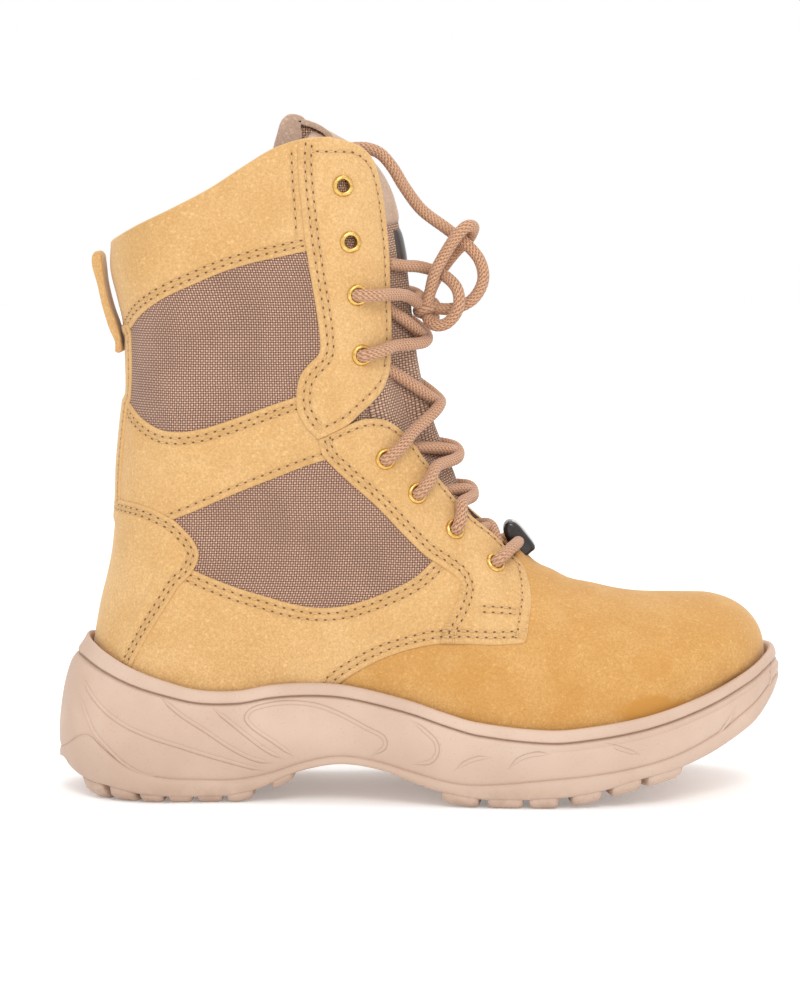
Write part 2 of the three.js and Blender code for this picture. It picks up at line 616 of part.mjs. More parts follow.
function midsole() {
  const wall = MIDSOLE_WALL.map((level) => soleRing(level, "rim", "tread"));
  const cup = Array.from({ length: CUP_RINGS + 1 }, (_, j) => cupRing(j));
  const shelf = shelfRing({ out: -GAP, drop: -GAP });
  return ringSolid([...cup, ...wall, shelf], { insideFirst: true });
}

/** Side groove of the tread, cut from the sole's edge inward under a slope. */
function sideGroove(side, { x, width, slant }) {
  const edge = swing(x) + side * (halfWidth(side, x, soleLine("rim", x)) + SOLE_STANDOUT);
  const rise = Math.atan2(soleLine("ground", x + 4) - soleLine("ground", x - 4), 8);
  const box = new THREE.BoxGeometry(width, GROOVE_REACH, 2 * LUG_DEPTH);
  box.rotateZ(side * degToRad(slant)).rotateY(-rise);
  return box.translate(x, edge - (side * GROOVE_REACH) / 2, soleLine("ground", x));
}

function centreGroove({ x, width }) {
  const box = new THREE.BoxGeometry(width, CENTRE_GROOVE_LENGTH, 2 * LUG_DEPTH);
  return box.translate(x, swing(x), soleLine("ground", x));
}

function outsole() {
  const wall = OUTSOLE_WALL.map((level) => soleRing(level, "tread", "ground")).reverse();
  const layer = ringSolid([...wall, shelfRing({ out: 0, drop: 0 })]);
  const grooves = [LATERAL, MEDIAL]
    .flatMap((side) => LUG_GROOVES.map((groove) => sideGroove(side, groove)));
  return cut(layer, [...grooves, ...CENTRE_GROOVES.map(centreGroove)]);
}

function insole() {
  const ring = (rise) => COLUMN_SHARES.map((w) => {
    const edge = lastPoint(w, 0);
    return edge.addScaledVector(levelNormal(w, 0), -WALL - INSOLE_INSET).setZ(edge.z + rise);
  });
  return ringSolid([ring(0), ring(INSOLE_THICKNESS)]);
}

// ------------------------------------------------------------ tongue
const TONGUE_COLUMNS = [-1, -0.86, -0.66, -0.52, -0.36, -0.18, 0, 0.18, 0.36, 0.52, 0.66, 0.86, 1];
const tongueLine = sideCurve(TONGUE);

/** The tongue's section at a share of its rows: place, widths and inward direction. */
function tongueSection(share) {
  const i = Math.min(Math.floor(share * (TONGUE.length - 1)), TONGUE.length - 2);
  const t = share * (TONGUE.length - 1) - i;
  const { x, z } = tongueLine.getPoint(share);
  const along = tongueLine.getTangent(share);
  return {
    x, z,
    half: lerp(TONGUE[i].half, TONGUE[i + 1].half, t),
    gap: lerp(TONGUE[i].gap, TONGUE[i + 1].gap, t),
    inward: new THREE.Vector3(-along.z, 0, along.x).normalize(),
  };
}

/** How far behind its front line a tongue point lies so that it clears the facings. */
function underFacings({ x, z, inward }, y) {
  const side = y < 0 ? LATERAL : MEDIAL;
  const room = WALL + TONGUE_CLEARANCE;
  const inside = (depth, spare) => halfWidth(
    side, x + inward.x * depth, z + inward.z * depth) >= Math.abs(y) + spare;
  let depth = 0;
  while (depth < DEEPEST_TUCK && !(inside(depth - room, 0) && inside(depth, room))) depth += TUCK_STEP;
  return depth;
}

/** Point on the tongue's face at a width y, and further in by a depth. */
function tonguePoint(section, y, further = 0) {
  const { x, z, half, gap, inward } = section;
  const tucked = smoothstep(Math.abs(y), gap * 0.3, gap - 6);
  const crown = TONGUE_CROWN * (y / half) ** 2;
  const depth = Math.max(crown, lerp(crown, underFacings(section, y), tucked));
  return new THREE.Vector3(x, swing(x) + y, z).addScaledVector(inward, depth + further);
}

function tongue() {
  const sections = TONGUE.map((_, i) => tongueSection(i / (TONGUE.length - 1)));
  const face = sections.map((section) => (
    TONGUE_COLUMNS.map((share) => tonguePoint(section, share * section.half))));
  const behind = sections.map((section) => TONGUE_COLUMNS.map((share) => (
    tonguePoint(section, share * section.half, TONGUE_THICKNESS * (1 - 0.5 * share * share)))));
  return plateSolid(face, behind);
}

// ------------------------------------------------------------ tabs and keeper
/** The keeper, with the hole across the boot that the lace runs through. */
function keeper() {
  const { x, z, radius } = KEEPER_HOLE;
  const hole = new THREE.CylinderGeometry(radius, radius, 2 * KEEPER_WIDTH, 12);
  return cut(sideSlab(KEEPER, KEEPER_WIDTH), [hole.translate(x, 0, z)]);
}

// ------------------------------------------------------------ laces
/** Round lace along points. */
function cord(points, steps, sides = CORD_SIDES) {
  const section = new THREE.Shape().absarc(0, 0, LACE / 2, 0, 2 * Math.PI);
  return new THREE.ExtrudeGeometry(section, {
    extrudePath: new THREE.CatmullRomCurve3(points, false, "centripetal"),
    steps, bevelEnabled: false, curveSegments: sides / 2,
  });
}

/** Lace point over the last's outer face. */
function overFace(side, { x, z }, out) {
  const { point, normal } = overSide(side, x, z);
  return point.addScaledVector(normal, out);
}

/** Lace point on the tongue. */
function onTongue(share, y) {
  return tonguePoint(tongueSection(share), y, -LACE / 2 - LACE_CLEARANCE);
}

const EYELET_TOP = LACE / 2 + EYELET.height + 1; // height of a lace over an eyelet
const mirroredPair = (strand) => joined([strand(LATERAL), strand(MEDIAL)]);

/** Two strands that leave their eyelets, meet over the tongue and dive past the far edge. */
function crossing({ eyelet: index, edge, middle, far }) {
  const reach = Math.max(tongueSection(far).gap - 10, 3.6);
  return mirroredPair((side) => {
    const start = edge
      ? [overFace(side, EYELETS[index], EYELET_TOP),
        overFace(side, edge, LACE / 2 + LACE_CLEARANCE)]
      : [onTongue(2 * middle - far, side * reach)];
    return cord([
      ...start,
      onTongue(middle, 0),
      onTongue((middle + far) / 2, (-side * reach) / 2),
      onTongue(far, -side * reach),
    ], 8, STRAND_SIDES);
  });
}

function bottomBar() {
  const half = (side) => [
    overFace(side, EYELETS[0], EYELET_TOP),
    overFace(side, BAR_EDGE, LACE / 2 + 1.4),
    new THREE.Vector3(KEEPER_HOLE.x, side * BAR_TURN, KEEPER_HOLE.z),
  ];
  return cord([...half(LATERAL), ...half(MEDIAL).reverse()], 14, STRAND_SIDES);
}

/** Strand from a top laced eyelet over the facing's edge to the knot. */
function topStrand(side) {
  return cord([
    overFace(side, EYELETS[5], EYELET_TOP),
    overFace(side, TOP_EDGE, LACE / 2 + 1),
    ...TOP_STRAND.map(({ x, out, shift, z }) => new THREE.Vector3(x, side * out + shift, z)),
  ], 8, STRAND_SIDES);
}

/** The knot: a lace wound round itself. */
function knot() {
  const { x, y, z, radius, turns, rise } = KNOT;
  const points = Array.from({ length: 16 }, (_, i) => {
    const angle = (i / 15) * turns * 2 * Math.PI;
    return new THREE.Vector3(
      x + radius * Math.cos(angle), y + radius * Math.sin(angle), z + (rise * i) / 15);
  });
  return cord(points, 20);
}

const route = (points) => points.map(([x, y, z]) => new THREE.Vector3(x, y, z));

// ------------------------------------------------------------ the boot
const boot = new THREE.Group();

function add(name, geometry, { color, roughness, metalness = 0 }) {
  const material = new THREE.MeshStandardMaterial({ color, roughness, metalness });
  const mesh = new THREE.Mesh(geometry, material);
  mesh.name = name;
  boot.add(mesh);
}

const SUEDE = { color: 0xd6a866, roughness: 0.9 };
const FABRIC = { color: 0x8b6f60, roughness: 0.95 };
const SOLE = { color: 0xc9a78e, roughness: 0.75 };
const LINING = { color: 0x5c4a40, roughness: 0.9 };
const PALE_SUEDE = { color: 0xcdb3a2, roughness: 0.9 };
const PLASTIC = { color: 0x1c1716, roughness: 0.25 };
const BRAID = { color: 0xb98f77, roughness: 0.8 };
const BRASS = { color: 0xc8973c, roughness: 0.35, metalness: 1 };

add("upper", upper(), SUEDE);
add("midsole", midsole(), SOLE);
add("outsole", outsole(), SOLE);
add("insole", insole(), LINING);
add("tongue", tongue(), FABRIC);
for (const [side, word] of [[LATERAL, "lateral"], [MEDIAL, "medial"]]) {
  EYELETS.forEach((place, i) => add(`eyelet_${word}_${i + 1}`, eyelet(side, place), BRASS));
}

add("tongue_loop", sideSlab(TONGUE_LOOP, TONGUE_LOOP_WIDTH), PALE_SUEDE);
add("pull_tab", sideSlab(PULL_TAB, PULL_TAB_WIDTH), SUEDE);
add("lace_keeper", keeper(), PLASTIC);
add("lace_bar", bottomBar(), BRAID);
CROSSINGS.forEach((row, i) => add(`lace_crossing_${i + 1}`, crossing(row), BRAID));
add("lace_top_lateral", topStrand(LATERAL), BRAID);
add("lace_top_medial", topStrand(MEDIAL), BRAID);
add("lace_knot", knot(), BRAID);
add("lace_end", cord(route(LACE_END), 26), BRAID);
add("lace_bow_loop", cord(route(LACE_BOW_LOOP), 26), BRAID);
add("lace_small_loop", cord(route(LACE_SMALL_LOOP), 18), BRAID);

// The frame: the middle of the boot's box in plan, on the floor. The free lace is left out.
const FREE_LACE = ["lace_knot", "lace_end", "lace_bow_loop", "lace_small_loop"];
const box = new THREE.Box3();
for (const mesh of boot.children) {
  if (!FREE_LACE.includes(mesh.name)) box.expandByObject(mesh);
}
const middle = box.getCenter(new THREE.Vector3());
boot.position.set(-middle.x, -middle.y, -box.min.z);

export default boot;
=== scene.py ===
"""Combat boot, right foot: the looks.

Shapes are worked out in millimetres from the last that the CAD uses: +X to the toe, +Y to the
inner side, +Z up, x = 0 near the sole's back end and y = 0 on the last's middle plane. The
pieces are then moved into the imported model's frame, in metres, by to_frame().
"""
import math
from functools import partial

import bmesh
import bpy
import numpy as np
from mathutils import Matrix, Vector
from mathutils.bvhtree import BVHTree
from mathutils.geometry import delaunay_2d_cdt


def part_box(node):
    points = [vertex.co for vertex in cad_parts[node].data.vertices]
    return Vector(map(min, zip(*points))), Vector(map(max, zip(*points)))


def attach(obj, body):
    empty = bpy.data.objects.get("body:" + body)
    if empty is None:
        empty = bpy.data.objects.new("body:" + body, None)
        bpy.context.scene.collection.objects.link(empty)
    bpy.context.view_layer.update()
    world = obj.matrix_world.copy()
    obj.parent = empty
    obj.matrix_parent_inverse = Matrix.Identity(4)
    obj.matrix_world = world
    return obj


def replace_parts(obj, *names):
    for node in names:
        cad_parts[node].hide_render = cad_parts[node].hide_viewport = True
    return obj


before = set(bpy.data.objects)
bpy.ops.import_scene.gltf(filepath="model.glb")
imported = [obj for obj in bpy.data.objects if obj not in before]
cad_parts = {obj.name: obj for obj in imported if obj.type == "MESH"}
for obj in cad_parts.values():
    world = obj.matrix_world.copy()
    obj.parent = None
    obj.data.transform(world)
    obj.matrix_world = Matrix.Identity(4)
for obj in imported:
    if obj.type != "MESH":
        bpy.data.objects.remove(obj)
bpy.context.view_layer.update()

LATERAL, MEDIAL = -1, 1
WORDS = {LATERAL: "lateral", MEDIAL: "medial"}
TAB_BACK_X = 15.4  # rearmost point of the pull tab, from the last's origin
tab_low, tab_high = (np.array(corner) * 1000 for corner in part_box("pull_tab"))
SHIFT = np.array([tab_low[0] - TAB_BACK_X, (tab_low[1] + tab_high[1]) / 2, 0.0])


def to_frame(points):
    """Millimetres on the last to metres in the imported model's frame."""
    return (np.asarray(points, float) + SHIFT) / 1000


# ------------------------------------------------------------------ the last
# Side-view lines (x, z), from the heel to the toe or from the bottom up.
BACK_LINE = [(17.5, 37), (14.6, 47), (13.9, 58), (16.4, 76), (21, 97), (24, 118), (25, 138),
             (26.8, 156), (28.4, 169), (28.2, 182), (27.8, 194), (25.2, 207), (22.6, 219),
             (22.8, 230)]
FRONT_LINE = [(290, 39), (295.5, 47), (297.2, 58), (294.6, 68), (287.4, 76), (276, 80.8),
              (261, 81.7), (244, 82.2), (228, 84.5), (214, 88.8), (202.6, 93.8), (194.4, 101),
              (185, 112), (174.6, 124), (164.4, 137.6), (155.2, 153), (149.4, 170), (147, 188),
              (146.4, 208), (145.6, 228), (143.5, 246), (140.5, 271)]
FEATHER_LINE = [(17.5, 37), (60, 35.5), (100, 32), (140, 26), (180, 21.5), (212, 20.5),
                (240, 23), (268, 30), (290, 39)]
COLLAR_LINE = [(22.8, 230), (35, 236.3), (50, 243.2), (66, 251.5), (80, 260.5), (92, 267.6),
               (104, 271.4), (115, 272.2), (127, 271.8), (140.5, 271)]
# x, lateral half-width, medial half-width, swing of the centre line.
FOOT_WIDTHS = np.array([
    (14, 33.5, 33.5, 0), (45, 35, 34.5, 0), (80, 35, 33, 0), (112, 36.5, 31, -1),
    (145, 41.5, 35, -1), (178, 47.5, 44.5, 0), (208, 50.5, 50.5, 1.5), (240, 50, 51, 4),
    (270, 47.5, 49, 7), (297, 45, 46, 9)])
# z, half-width of the leg, rounding of its back.
LEG_WIDTHS = np.array([(36, 33, 33), (60, 35.5, 34), (100, 33, 30), (135, 35.5, 29),
                       (180, 37.5, 30), (230, 39, 31), (272, 39.5, 32)])
LEG_STARTS, LEG_FULL = 55, 128
# Share of the front line, rounding of the front there.
FRONT_ROUND = np.array([(0, 50), (0.1, 46), (0.2, 38), (0.36, 42), (0.5, 44), (0.62, 38),
                        (0.75, 31), (1, 29)])
WALL = 2.2
CUP_GAP = 0.56
W_CELLS, B_CELLS = 720, 360  # cells of the last's grid, round it and up it


def centripetal(points, pieces=16):
    """Dense centripetal Catmull-Rom curve through points, or through rows of points."""
    points = np.asarray(points, float)
    around = np.concatenate([2 * points[:1] - points[1:2], points, 2 * points[-1:] - points[-2:-1]])
    result = []
    for p, q, r, s in zip(around, around[1:], around[2:], around[3:]):
        before, here, after = (np.maximum(np.sqrt(np.linalg.norm(v, axis=-1, keepdims=True)), 1e-3)
                               for v in (q - p, r - q, s - r))
        slope_q = ((q - p) / before - (r - p) / (before + here) + (r - q) / here) * here
        slope_r = ((r - q) / here - (s - q) / (here + after) + (s - r) / after) * here
        for t in np.linspace(0, 1, pieces, endpoint=False):
            result.append(q + slope_q * t + (3 * (r - q) - 2 * slope_q - slope_r) * t ** 2
                          + (2 * (q - r) + slope_q + slope_r) * t ** 3)
    return np.array(result + [points[-1]])


def lengths(points):
    """Distance along a polyline to each of its points."""
    return np.concatenate([[0], np.cumsum(np.linalg.norm(np.diff(points, axis=0), axis=1))])


def along(points, at):
    """Points at distances along a polyline."""
    reach = lengths(points)
    return np.stack([np.interp(at, reach, points[:, k]) for k in range(points.shape[1])], -1)


def spaced(points, step):
    """A polyline's points, a step or a little less apart."""
    total = lengths(points)[-1]
    return along(points, np.linspace(0, total, max(2, int(math.ceil(total / step)) + 1)))


def smooth_curve(points, step):
    return spaced(centripetal(points), step)


def look_up(table, column, at):
    """Smooth value of a table's column at a place between its rows, flat past its ends."""
    x, y = table[:, 0], table[:, column]
    low, high = np.r_[0, 0:len(x) - 1], np.r_[1:len(x), len(x) - 1]
    slopes = (y[high] - y[low]) / (x[high] - x[low])
    at = np.clip(at, x[0], x[-1])
    i = np.clip(np.searchsorted(x, at, side="right") - 1, 0, len(x) - 2)
    span = x[i + 1] - x[i]
    t = (at - x[i]) / span
    return (y[i] * (2 * t ** 3 - 3 * t ** 2 + 1) + slopes[i] * span * (t ** 3 - 2 * t ** 2 + t)
            + y[i + 1] * (3 * t ** 2 - 2 * t ** 3) + slopes[i + 1] * span * (t ** 3 - t ** 2))


def smoothstep(x, low, high):
    t = np.clip((np.asarray(x, float) - low) / (high - low), 0, 1)
    return t * t * (3 - 2 * t)


def lerp(a, b, t):
    return a + (b - a) * t


def bilinear(grid, row, column):
    """Values of a grid at places between its rows and columns."""
    i = np.minimum(row.astype(int), grid.shape[0] - 2)
    j = np.minimum(column.astype(int), grid.shape[1] - 2)
    s, t = (row - i)[..., None], (column - j)[..., None]
    return lerp(lerp(grid[i, j], grid[i + 1, j], s), lerp(grid[i, j + 1], grid[i + 1, j + 1], s), t)


def even_line(points, count):
    dense = centripetal(points, 60)
    return along(dense, np.linspace(0, lengths(dense)[-1], count))


LINE_SAMPLES, FRONT_SAMPLES = 1001, 501
back_line, front_line, feather_line, collar_line = (
    even_line(line, LINE_SAMPLES) for line in (BACK_LINE, FRONT_LINE, FEATHER_LINE, COLLAR_LINE))
front_coarse = even_line(FRONT_LINE, FRONT_SAMPLES)
front_round = look_up(FRONT_ROUND, 1, np.linspace(0, 1, FRONT_SAMPLES))


def on_line(line, share):
    at = np.linspace(0, 1, len(line))
    return np.stack([np.interp(share, at, line[:, k]) for k in (0, 1)], -1)


def swing(x):
    return look_up(FOOT_WIDTHS, 3, x)


def round_off(closeness):
    return np.sqrt(np.maximum(0, 1 - np.clip(closeness, 0, 1) ** 2))


def front_closeness(x, z):
    """1 on the front line, 0 past its rounding."""
    result = np.zeros(len(x))
    a, d = front_coarse[:-1], np.diff(front_coarse, axis=0)
    size = (d ** 2).sum(1)
    for start in range(0, len(x), 4000):
        part = slice(start, start + 4000)
        gx, gz = x[part, None] - a[:, 0], z[part, None] - a[:, 1]
        t = np.clip((gx * d[:, 0] + gz * d[:, 1]) / size, 0, 1)
        away = np.hypot(gx - t * d[:, 0], gz - t * d[:, 1])
        reach = lerp(front_round[:-1], front_round[1:], t)
        result[part] = np.maximum(0, (1 - away / reach).max(1))
    return result


def half_width(side, x, z):
    """The last's half-width over side-view points; side is a number or one for each."""
    x, z = np.atleast_1d(x).astype(float), np.atleast_1d(z).astype(float)
    foot = np.where(np.broadcast_to(side, x.shape) == LATERAL,
                    look_up(FOOT_WIDTHS, 1, x), look_up(FOOT_WIDTHS, 2, x))
    full = lerp(foot, look_up(LEG_WIDTHS, 1, z), smoothstep(z, LEG_STARTS, LEG_FULL))
    back_x = np.interp(z, back_line[:, 1], back_line[:, 0])
    back_closeness = 1 - (x - back_x) / look_up(LEG_WIDTHS, 2, z)
    return full * round_off(back_closeness) * round_off(front_closeness(x, z))


def side_point(u, b):
    """Side-view point at a share u from the back to the front and b from the feather up."""
    u, b = np.broadcast_arrays(np.asarray(u, float), np.asarray(b, float))
    low, high = on_line(feather_line, u), on_line(collar_line, u)
    behind, ahead = on_line(back_line, b), on_line(front_line, b)
    u, b = u[..., None], b[..., None]
    corners = lerp(lerp(back_line[0], front_line[0], u), lerp(back_line[-1], front_line[-1], u), b)
    return lerp(low, high, b) + lerp(behind, ahead, u) - corners


def share_of(x, z):
    """Shares (a, b) of side-view points: a runs 0..1 round one side of the last."""
    target = np.stack([x, z], -1).astype(float)
    guess_u, guess_b = np.meshgrid(np.linspace(0, 1, 60), np.linspace(0, 1, 60))
    guesses = side_point(guess_u.ravel(), guess_b.ravel())
    near = ((target[:, None] - guesses) ** 2).sum(-1).argmin(1)
    u, b = guess_u.ravel()[near], guess_b.ravel()[near]
    step = 1e-3
    for _ in range(14):
        here = side_point(u, b)
        du = (side_point(u + step, b) - side_point(u - step, b)) / (
            np.clip(u + step, 0, 1) - np.clip(u - step, 0, 1))[:, None]
        db = (side_point(u, b + step) - side_point(u, b - step)) / (
            np.clip(b + step, 0, 1) - np.clip(b - step, 0, 1))[:, None]
        gap = target - here
        det = du[:, 0] * db[:, 1] - du[:, 1] * db[:, 0]
        u = np.clip(u + (gap[:, 0] * db[:, 1] - gap[:, 1] * db[:, 0]) / det, 0, 1)
        b = np.clip(b + (du[:, 0] * gap[:, 1] - du[:, 1] * gap[:, 0]) / det, 0, 1)
    return np.arccos(1 - 2 * u) / math.pi, b


# Soft creases and hollows of the upper: side view start and end, half-width, height, side.
CREASES = [
    ((196, 90), (188, 62), 7, -0.9, 0), ((206, 90), (203, 70), 5, 0.6, 0),
    ((214, 87), (213, 66), 6, -0.7, 0), ((226, 84), (228, 66), 9, 0.5, 0),
    ((128, 170), (117, 160), 5, -0.8, 0), ((110, 165), (100, 150), 5, -0.5, 0),
    ((60, 120), (90, 135), 8, 0.5, 0), ((38, 125), (60, 108), 5, -0.5, 0),
    ((34, 216), (60, 236), 9, 0.8, 0), ((62, 222), (94, 250), 8, -0.7, 0),
    ((40, 150), (90, 160), 5, -0.6, 0), ((60, 190), (92, 205), 12, -0.9, 0),
    ((40, 172), (90, 180), 9, 0.6, LATERAL), ((80, 105), (128, 100), 11, -0.8, 0),
    ((66, 66), (100, 60), 10, 0.6, 0), ((120, 62), (160, 50), 12, 0.6, 0),
    ((150, 124), (128, 146), 5, -0.5, 0), ((22, 100), (30, 70), 8, -0.4, 0),
    ((118, 230), (121, 205), 8, -0.5, 0), ((240, 70), (262, 60), 14, -0.5, LATERAL),
]


def to_segment(points, start, end):
    """Distance of points from a segment."""
    start, end = np.asarray(start, float), np.asarray(end, float)
    step = end - start
    t = np.clip(((points - start) @ step) / (step @ step), 0, 1)
    return np.linalg.norm(points - start - t[..., None] * step, axis=-1)


def creasing(side, x, z):
    """Height of the soft creases over side-view points."""
    points = np.stack([x, z], -1)
    total = np.zeros(x.shape)
    for start, end, width, height, where in CREASES:
        shape = height * np.exp(-(to_segment(points, start, end) / width) ** 2)
        total += np.where((where == 0) | (side == where), shape, 0)
    return total


class Last:
    """Grid of points and normals over the last; w runs 0..1 lateral, 1..2 medial."""

    def __init__(self):
        w = np.linspace(0, 2, W_CELLS + 1)
        b = np.linspace(0, 1, B_CELLS + 1)
        a = np.where(w <= 1, w, 2 - w)
        u = (1 - np.cos(math.pi * a)) / 2
        u[[0, -1]], u[W_CELLS // 2] = 0, 1
        side = np.repeat(np.where(w <= 1, LATERAL, MEDIAL), B_CELLS + 1)
        flat = side_point(*np.meshgrid(u, b, indexing="ij")).reshape(-1, 2)
        x, z = flat.T
        half = half_width(side, x, z).reshape(W_CELLS + 1, -1)
        half[[0, W_CELLS // 2, -1]] = 0
        y = swing(x) + side * half.ravel()
        self.points = np.stack([x, y, z], -1).reshape(W_CELLS + 1, B_CELLS + 1, 3)
        self.normals = self.measure_normals()
        bumps = creasing(side, x, z).reshape(W_CELLS + 1, B_CELLS + 1, 1)
        self.points = self.points + self.normals * bumps
        self.normals = self.measure_normals()
        steps = np.linalg.norm(np.diff(self.points, axis=0), axis=-1)
        self.girth = np.vstack([np.zeros(B_CELLS + 1), np.cumsum(steps, axis=0)])[..., None]

    def measure_normals(self):
        p = self.points
        ring = p[:-1]
        across = np.roll(ring, -1, 0) - np.roll(ring, 1, 0)
        across = np.vstack([across, across[:1]])
        up = np.gradient(p, axis=1)
        normal = np.cross(across, up)
        return normal / np.maximum(np.linalg.norm(normal, axis=-1, keepdims=True), 1e-9)

    def read(self, grid, wb):
        return bilinear(grid, np.mod(wb[:, 0], 2) / 2 * W_CELLS, np.clip(wb[:, 1], 0, 1) * B_CELLS)

    def normal(self, wb):
        n = self.read(self.normals, wb)
        return n / np.linalg.norm(n, axis=1, keepdims=True)

    def at(self, wb, out=0.0):
        """Points at a height over the last."""
        wb = np.atleast_2d(np.asarray(wb, float))
        return self.read(self.points, wb) + self.normal(wb) * np.reshape(out, (-1, 1))


last = Last()


def shares(side, xz):
    """(w, b) of side-view points on one side; w is negative on the medial side."""
    xz = np.atleast_2d(np.asarray(xz, float))
    a, b = share_of(xz[:, 0], xz[:, 1])
    return np.stack([np.where(side == LATERAL, a, -a), b], -1)


# ------------------------------------------------------------------ mesh helpers
NO_SEAM = 9.0  # distance that stands for no seam near by
TUBE_TIP = 0.8  # how far a tube's end stands out


def mesh_object(name, points, faces, materials):
    """Object from points in millimetres on the last; it rides on the boot's one body."""
    mesh = bpy.data.meshes.new(name)
    mesh.from_pydata(to_frame(points).tolist(), [], [tuple(map(int, f)) for f in faces])
    mesh.update()
    mesh.shade_smooth()
    for material in materials if isinstance(materials, list) else [materials]:
        mesh.materials.append(material)
    obj = bpy.data.objects.new(name, mesh)
    bpy.context.scene.collection.objects.link(obj)
    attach(obj, "root")
    return obj


def put_values(obj, name, values):
    """Number on each vertex, for a material to read."""
    layer = obj.data.attributes.new(name, "FLOAT", "POINT")
    layer.data.foreach_set("value", np.asarray(values, np.float32))


def far_from_seams(obj):
    """Edge and seam distances of a suede piece that has no stitches."""
    count = len(obj.data.vertices)
    put_values(obj, "edge", np.full(count, 3.0))
    put_values(obj, "seam", np.full(count, NO_SEAM))


def put_uv(obj, uv):
    """Texture coordinates from a pair of numbers for each vertex."""
    layer = obj.data.uv_layers.new(name="cloth")
    corners = np.empty(len(obj.data.loops), np.int32)
    obj.data.loops.foreach_get("vertex_index", corners)
    layer.data.foreach_set("uv", np.asarray(uv, np.float32)[corners].ravel())


def grid_faces(rows, columns, wrap_rows=False, wrap_columns=False, start=0):
    """Quads between the points of a grid kept row after row."""
    i = np.arange(rows if wrap_rows else rows - 1)
    j = np.arange(columns if wrap_columns else columns - 1)
    i, j = (g.ravel() for g in np.meshgrid(i, j, indexing="ij"))
    ni, nj = (i + 1) % rows, (j + 1) % columns
    return start + np.stack([i * columns + j, i * columns + nj, ni * columns + nj,
                             ni * columns + j], -1)


def wall_faces(count, total):
    """Quads between an outline's points and the same points of a second face."""
    return [(k, total + k, total + (k + 1) % count, (k + 1) % count) for k in range(count)]


def ladder_faces(columns, start, upward):
    """Rungs that close a ring whose first and middle points are its ends."""
    faces = []
    for i in range(columns // 2):
        near, near_next = i, i + 1
        far, far_next = (columns - i) % columns, columns - i - 1
        face = list(dict.fromkeys([near, near_next, far_next, far]))
        if len(face) > 2:
            faces.append([start + k for k in (face if upward else face[::-1])])
    return faces


def tube(points, radius, sides, step):
    """Points, faces and (distance, angle) pairs of a tube; radius is worked out from the pairs."""
    line = spaced(np.asarray(points, float), step)
    tangent = np.gradient(line, axis=0)
    tangent /= np.linalg.norm(tangent, axis=1, keepdims=True)
    normal = np.cross(tangent[0], [0.3, 0.2, 1.0])
    normals = []
    for t in tangent:
        normal = normal - t * (normal @ t)
        normal /= np.linalg.norm(normal)
        normals.append(normal.copy())
    normals = np.array(normals)
    binormals = np.cross(tangent, normals)
    angle = np.linspace(0, 2 * math.pi, sides, endpoint=False)
    reach = lengths(line)
    ring = (normals[:, None] * np.cos(angle)[:, None] + binormals[:, None] * np.sin(angle)[:, None])
    rings = line[:, None] + ring * radius(reach[:, None], angle[None])[..., None]
    points = np.vstack([rings.reshape(-1, 3), line[0] - tangent[0] * TUBE_TIP,
                        line[-1] + tangent[-1] * TUBE_TIP])
    pairs = np.stack([np.repeat(reach, sides), np.tile(angle, len(line))], -1)
    faces = [tuple(f) for f in grid_faces(len(line), sides, wrap_columns=True)]
    first, final = len(points) - 2, len(points) - 1
    base = (len(line) - 1) * sides
    for k in range(sides):
        faces.append((first, (k + 1) % sides, k))
        faces.append((final, base + k, base + (k + 1) % sides))
    return points, faces, np.vstack([pairs, pairs[0], pairs[-1]])


def merged(parts):
    """One list of points and one of faces from many."""
    points, faces, start = [], [], 0
    for p, f in parts:
        points.append(p)
        faces += [tuple(int(k) + start for k in face) for face in f]
        start += len(p)
    return np.vstack(points), faces


# ------------------------------------------------------------------ sole lines
# x, rim, tread line, shelf, ground, close to the CAD's.
SOLE_LINES = np.array([
    (-1, 66.5, 17, 17, 27), (4, 66.5, 20.5, 16, 10), (10, 66, 25.5, 13.5, 3.6),
    (15, 63.4, 26.5, 11, 0.9), (20, 60.6, 22.5, 9.5, 0), (32, 55, 14.5, 9, 0),
    (46, 50.2, 10.6, 8.6, 0), (60, 46.5, 9.7, 8.4, 0), (76, 46.1, 9.7, 8.6, 0),
    (90, 48.6, 12.6, 12, 5), (104, 49.7, 17.4, 16.8, 12), (118, 49.4, 20, 19.6, 15.4),
    (132, 47, 18.6, 17.8, 12.6), (148, 43, 14.2, 13.4, 6.4), (162, 38.4, 10.6, 9.8, 1.8),
    (175, 34.9, 9.5, 8.4, 0), (204, 32, 12, 8.6, 0), (222, 33.4, 13.8, 10.4, 2.4),
    (240, 36.4, 16.8, 14.4, 7), (258, 41, 21.6, 18.6, 11.6), (276, 47, 29.5, 23.6, 16.6),
    (290, 54, 39, 29.5, 24), (298, 58.5, 46, 35, 32), (304, 60.5, 49, 42, 41)])


def sole_line(column, x):
    return np.maximum(0, look_up(SOLE_LINES, column, x))


rim_line, tread_line, shelf_line, ground_line = (partial(sole_line, k) for k in range(1, 5))


def measure_rim():
    """Share b at which each column of the last's grid meets the sole's rim."""
    x, z = last.points[..., 0], last.points[..., 2]
    over = z - rim_line(x.ravel()).reshape(x.shape)
    first = np.argmax(over > 0, axis=1)
    i = np.arange(len(first))
    low, high = over[i, first - 1], over[i, first]
    return (first - 1 + low / (low - high)) / B_CELLS


rim_shares = measure_rim()


def rim_share(w):
    return np.interp(np.mod(w, 2), np.linspace(0, 2, W_CELLS + 1), rim_shares)


# ------------------------------------------------------------------ panels of the upper
FABRIC_OUT = -0.9  # height of the fabric's face over the last
SUEDE = 1.0  # thickness of one layer
SOFT_BORDER = 0.75  # width of a layer's rounded border
EDGE_STEP = 1.4
PANEL_STEP_W, PANEL_STEP_B = 1 / 150, 1 / 110
PLANE = np.array([300.0, 260.0])  # lays (w, b) out for the triangulation


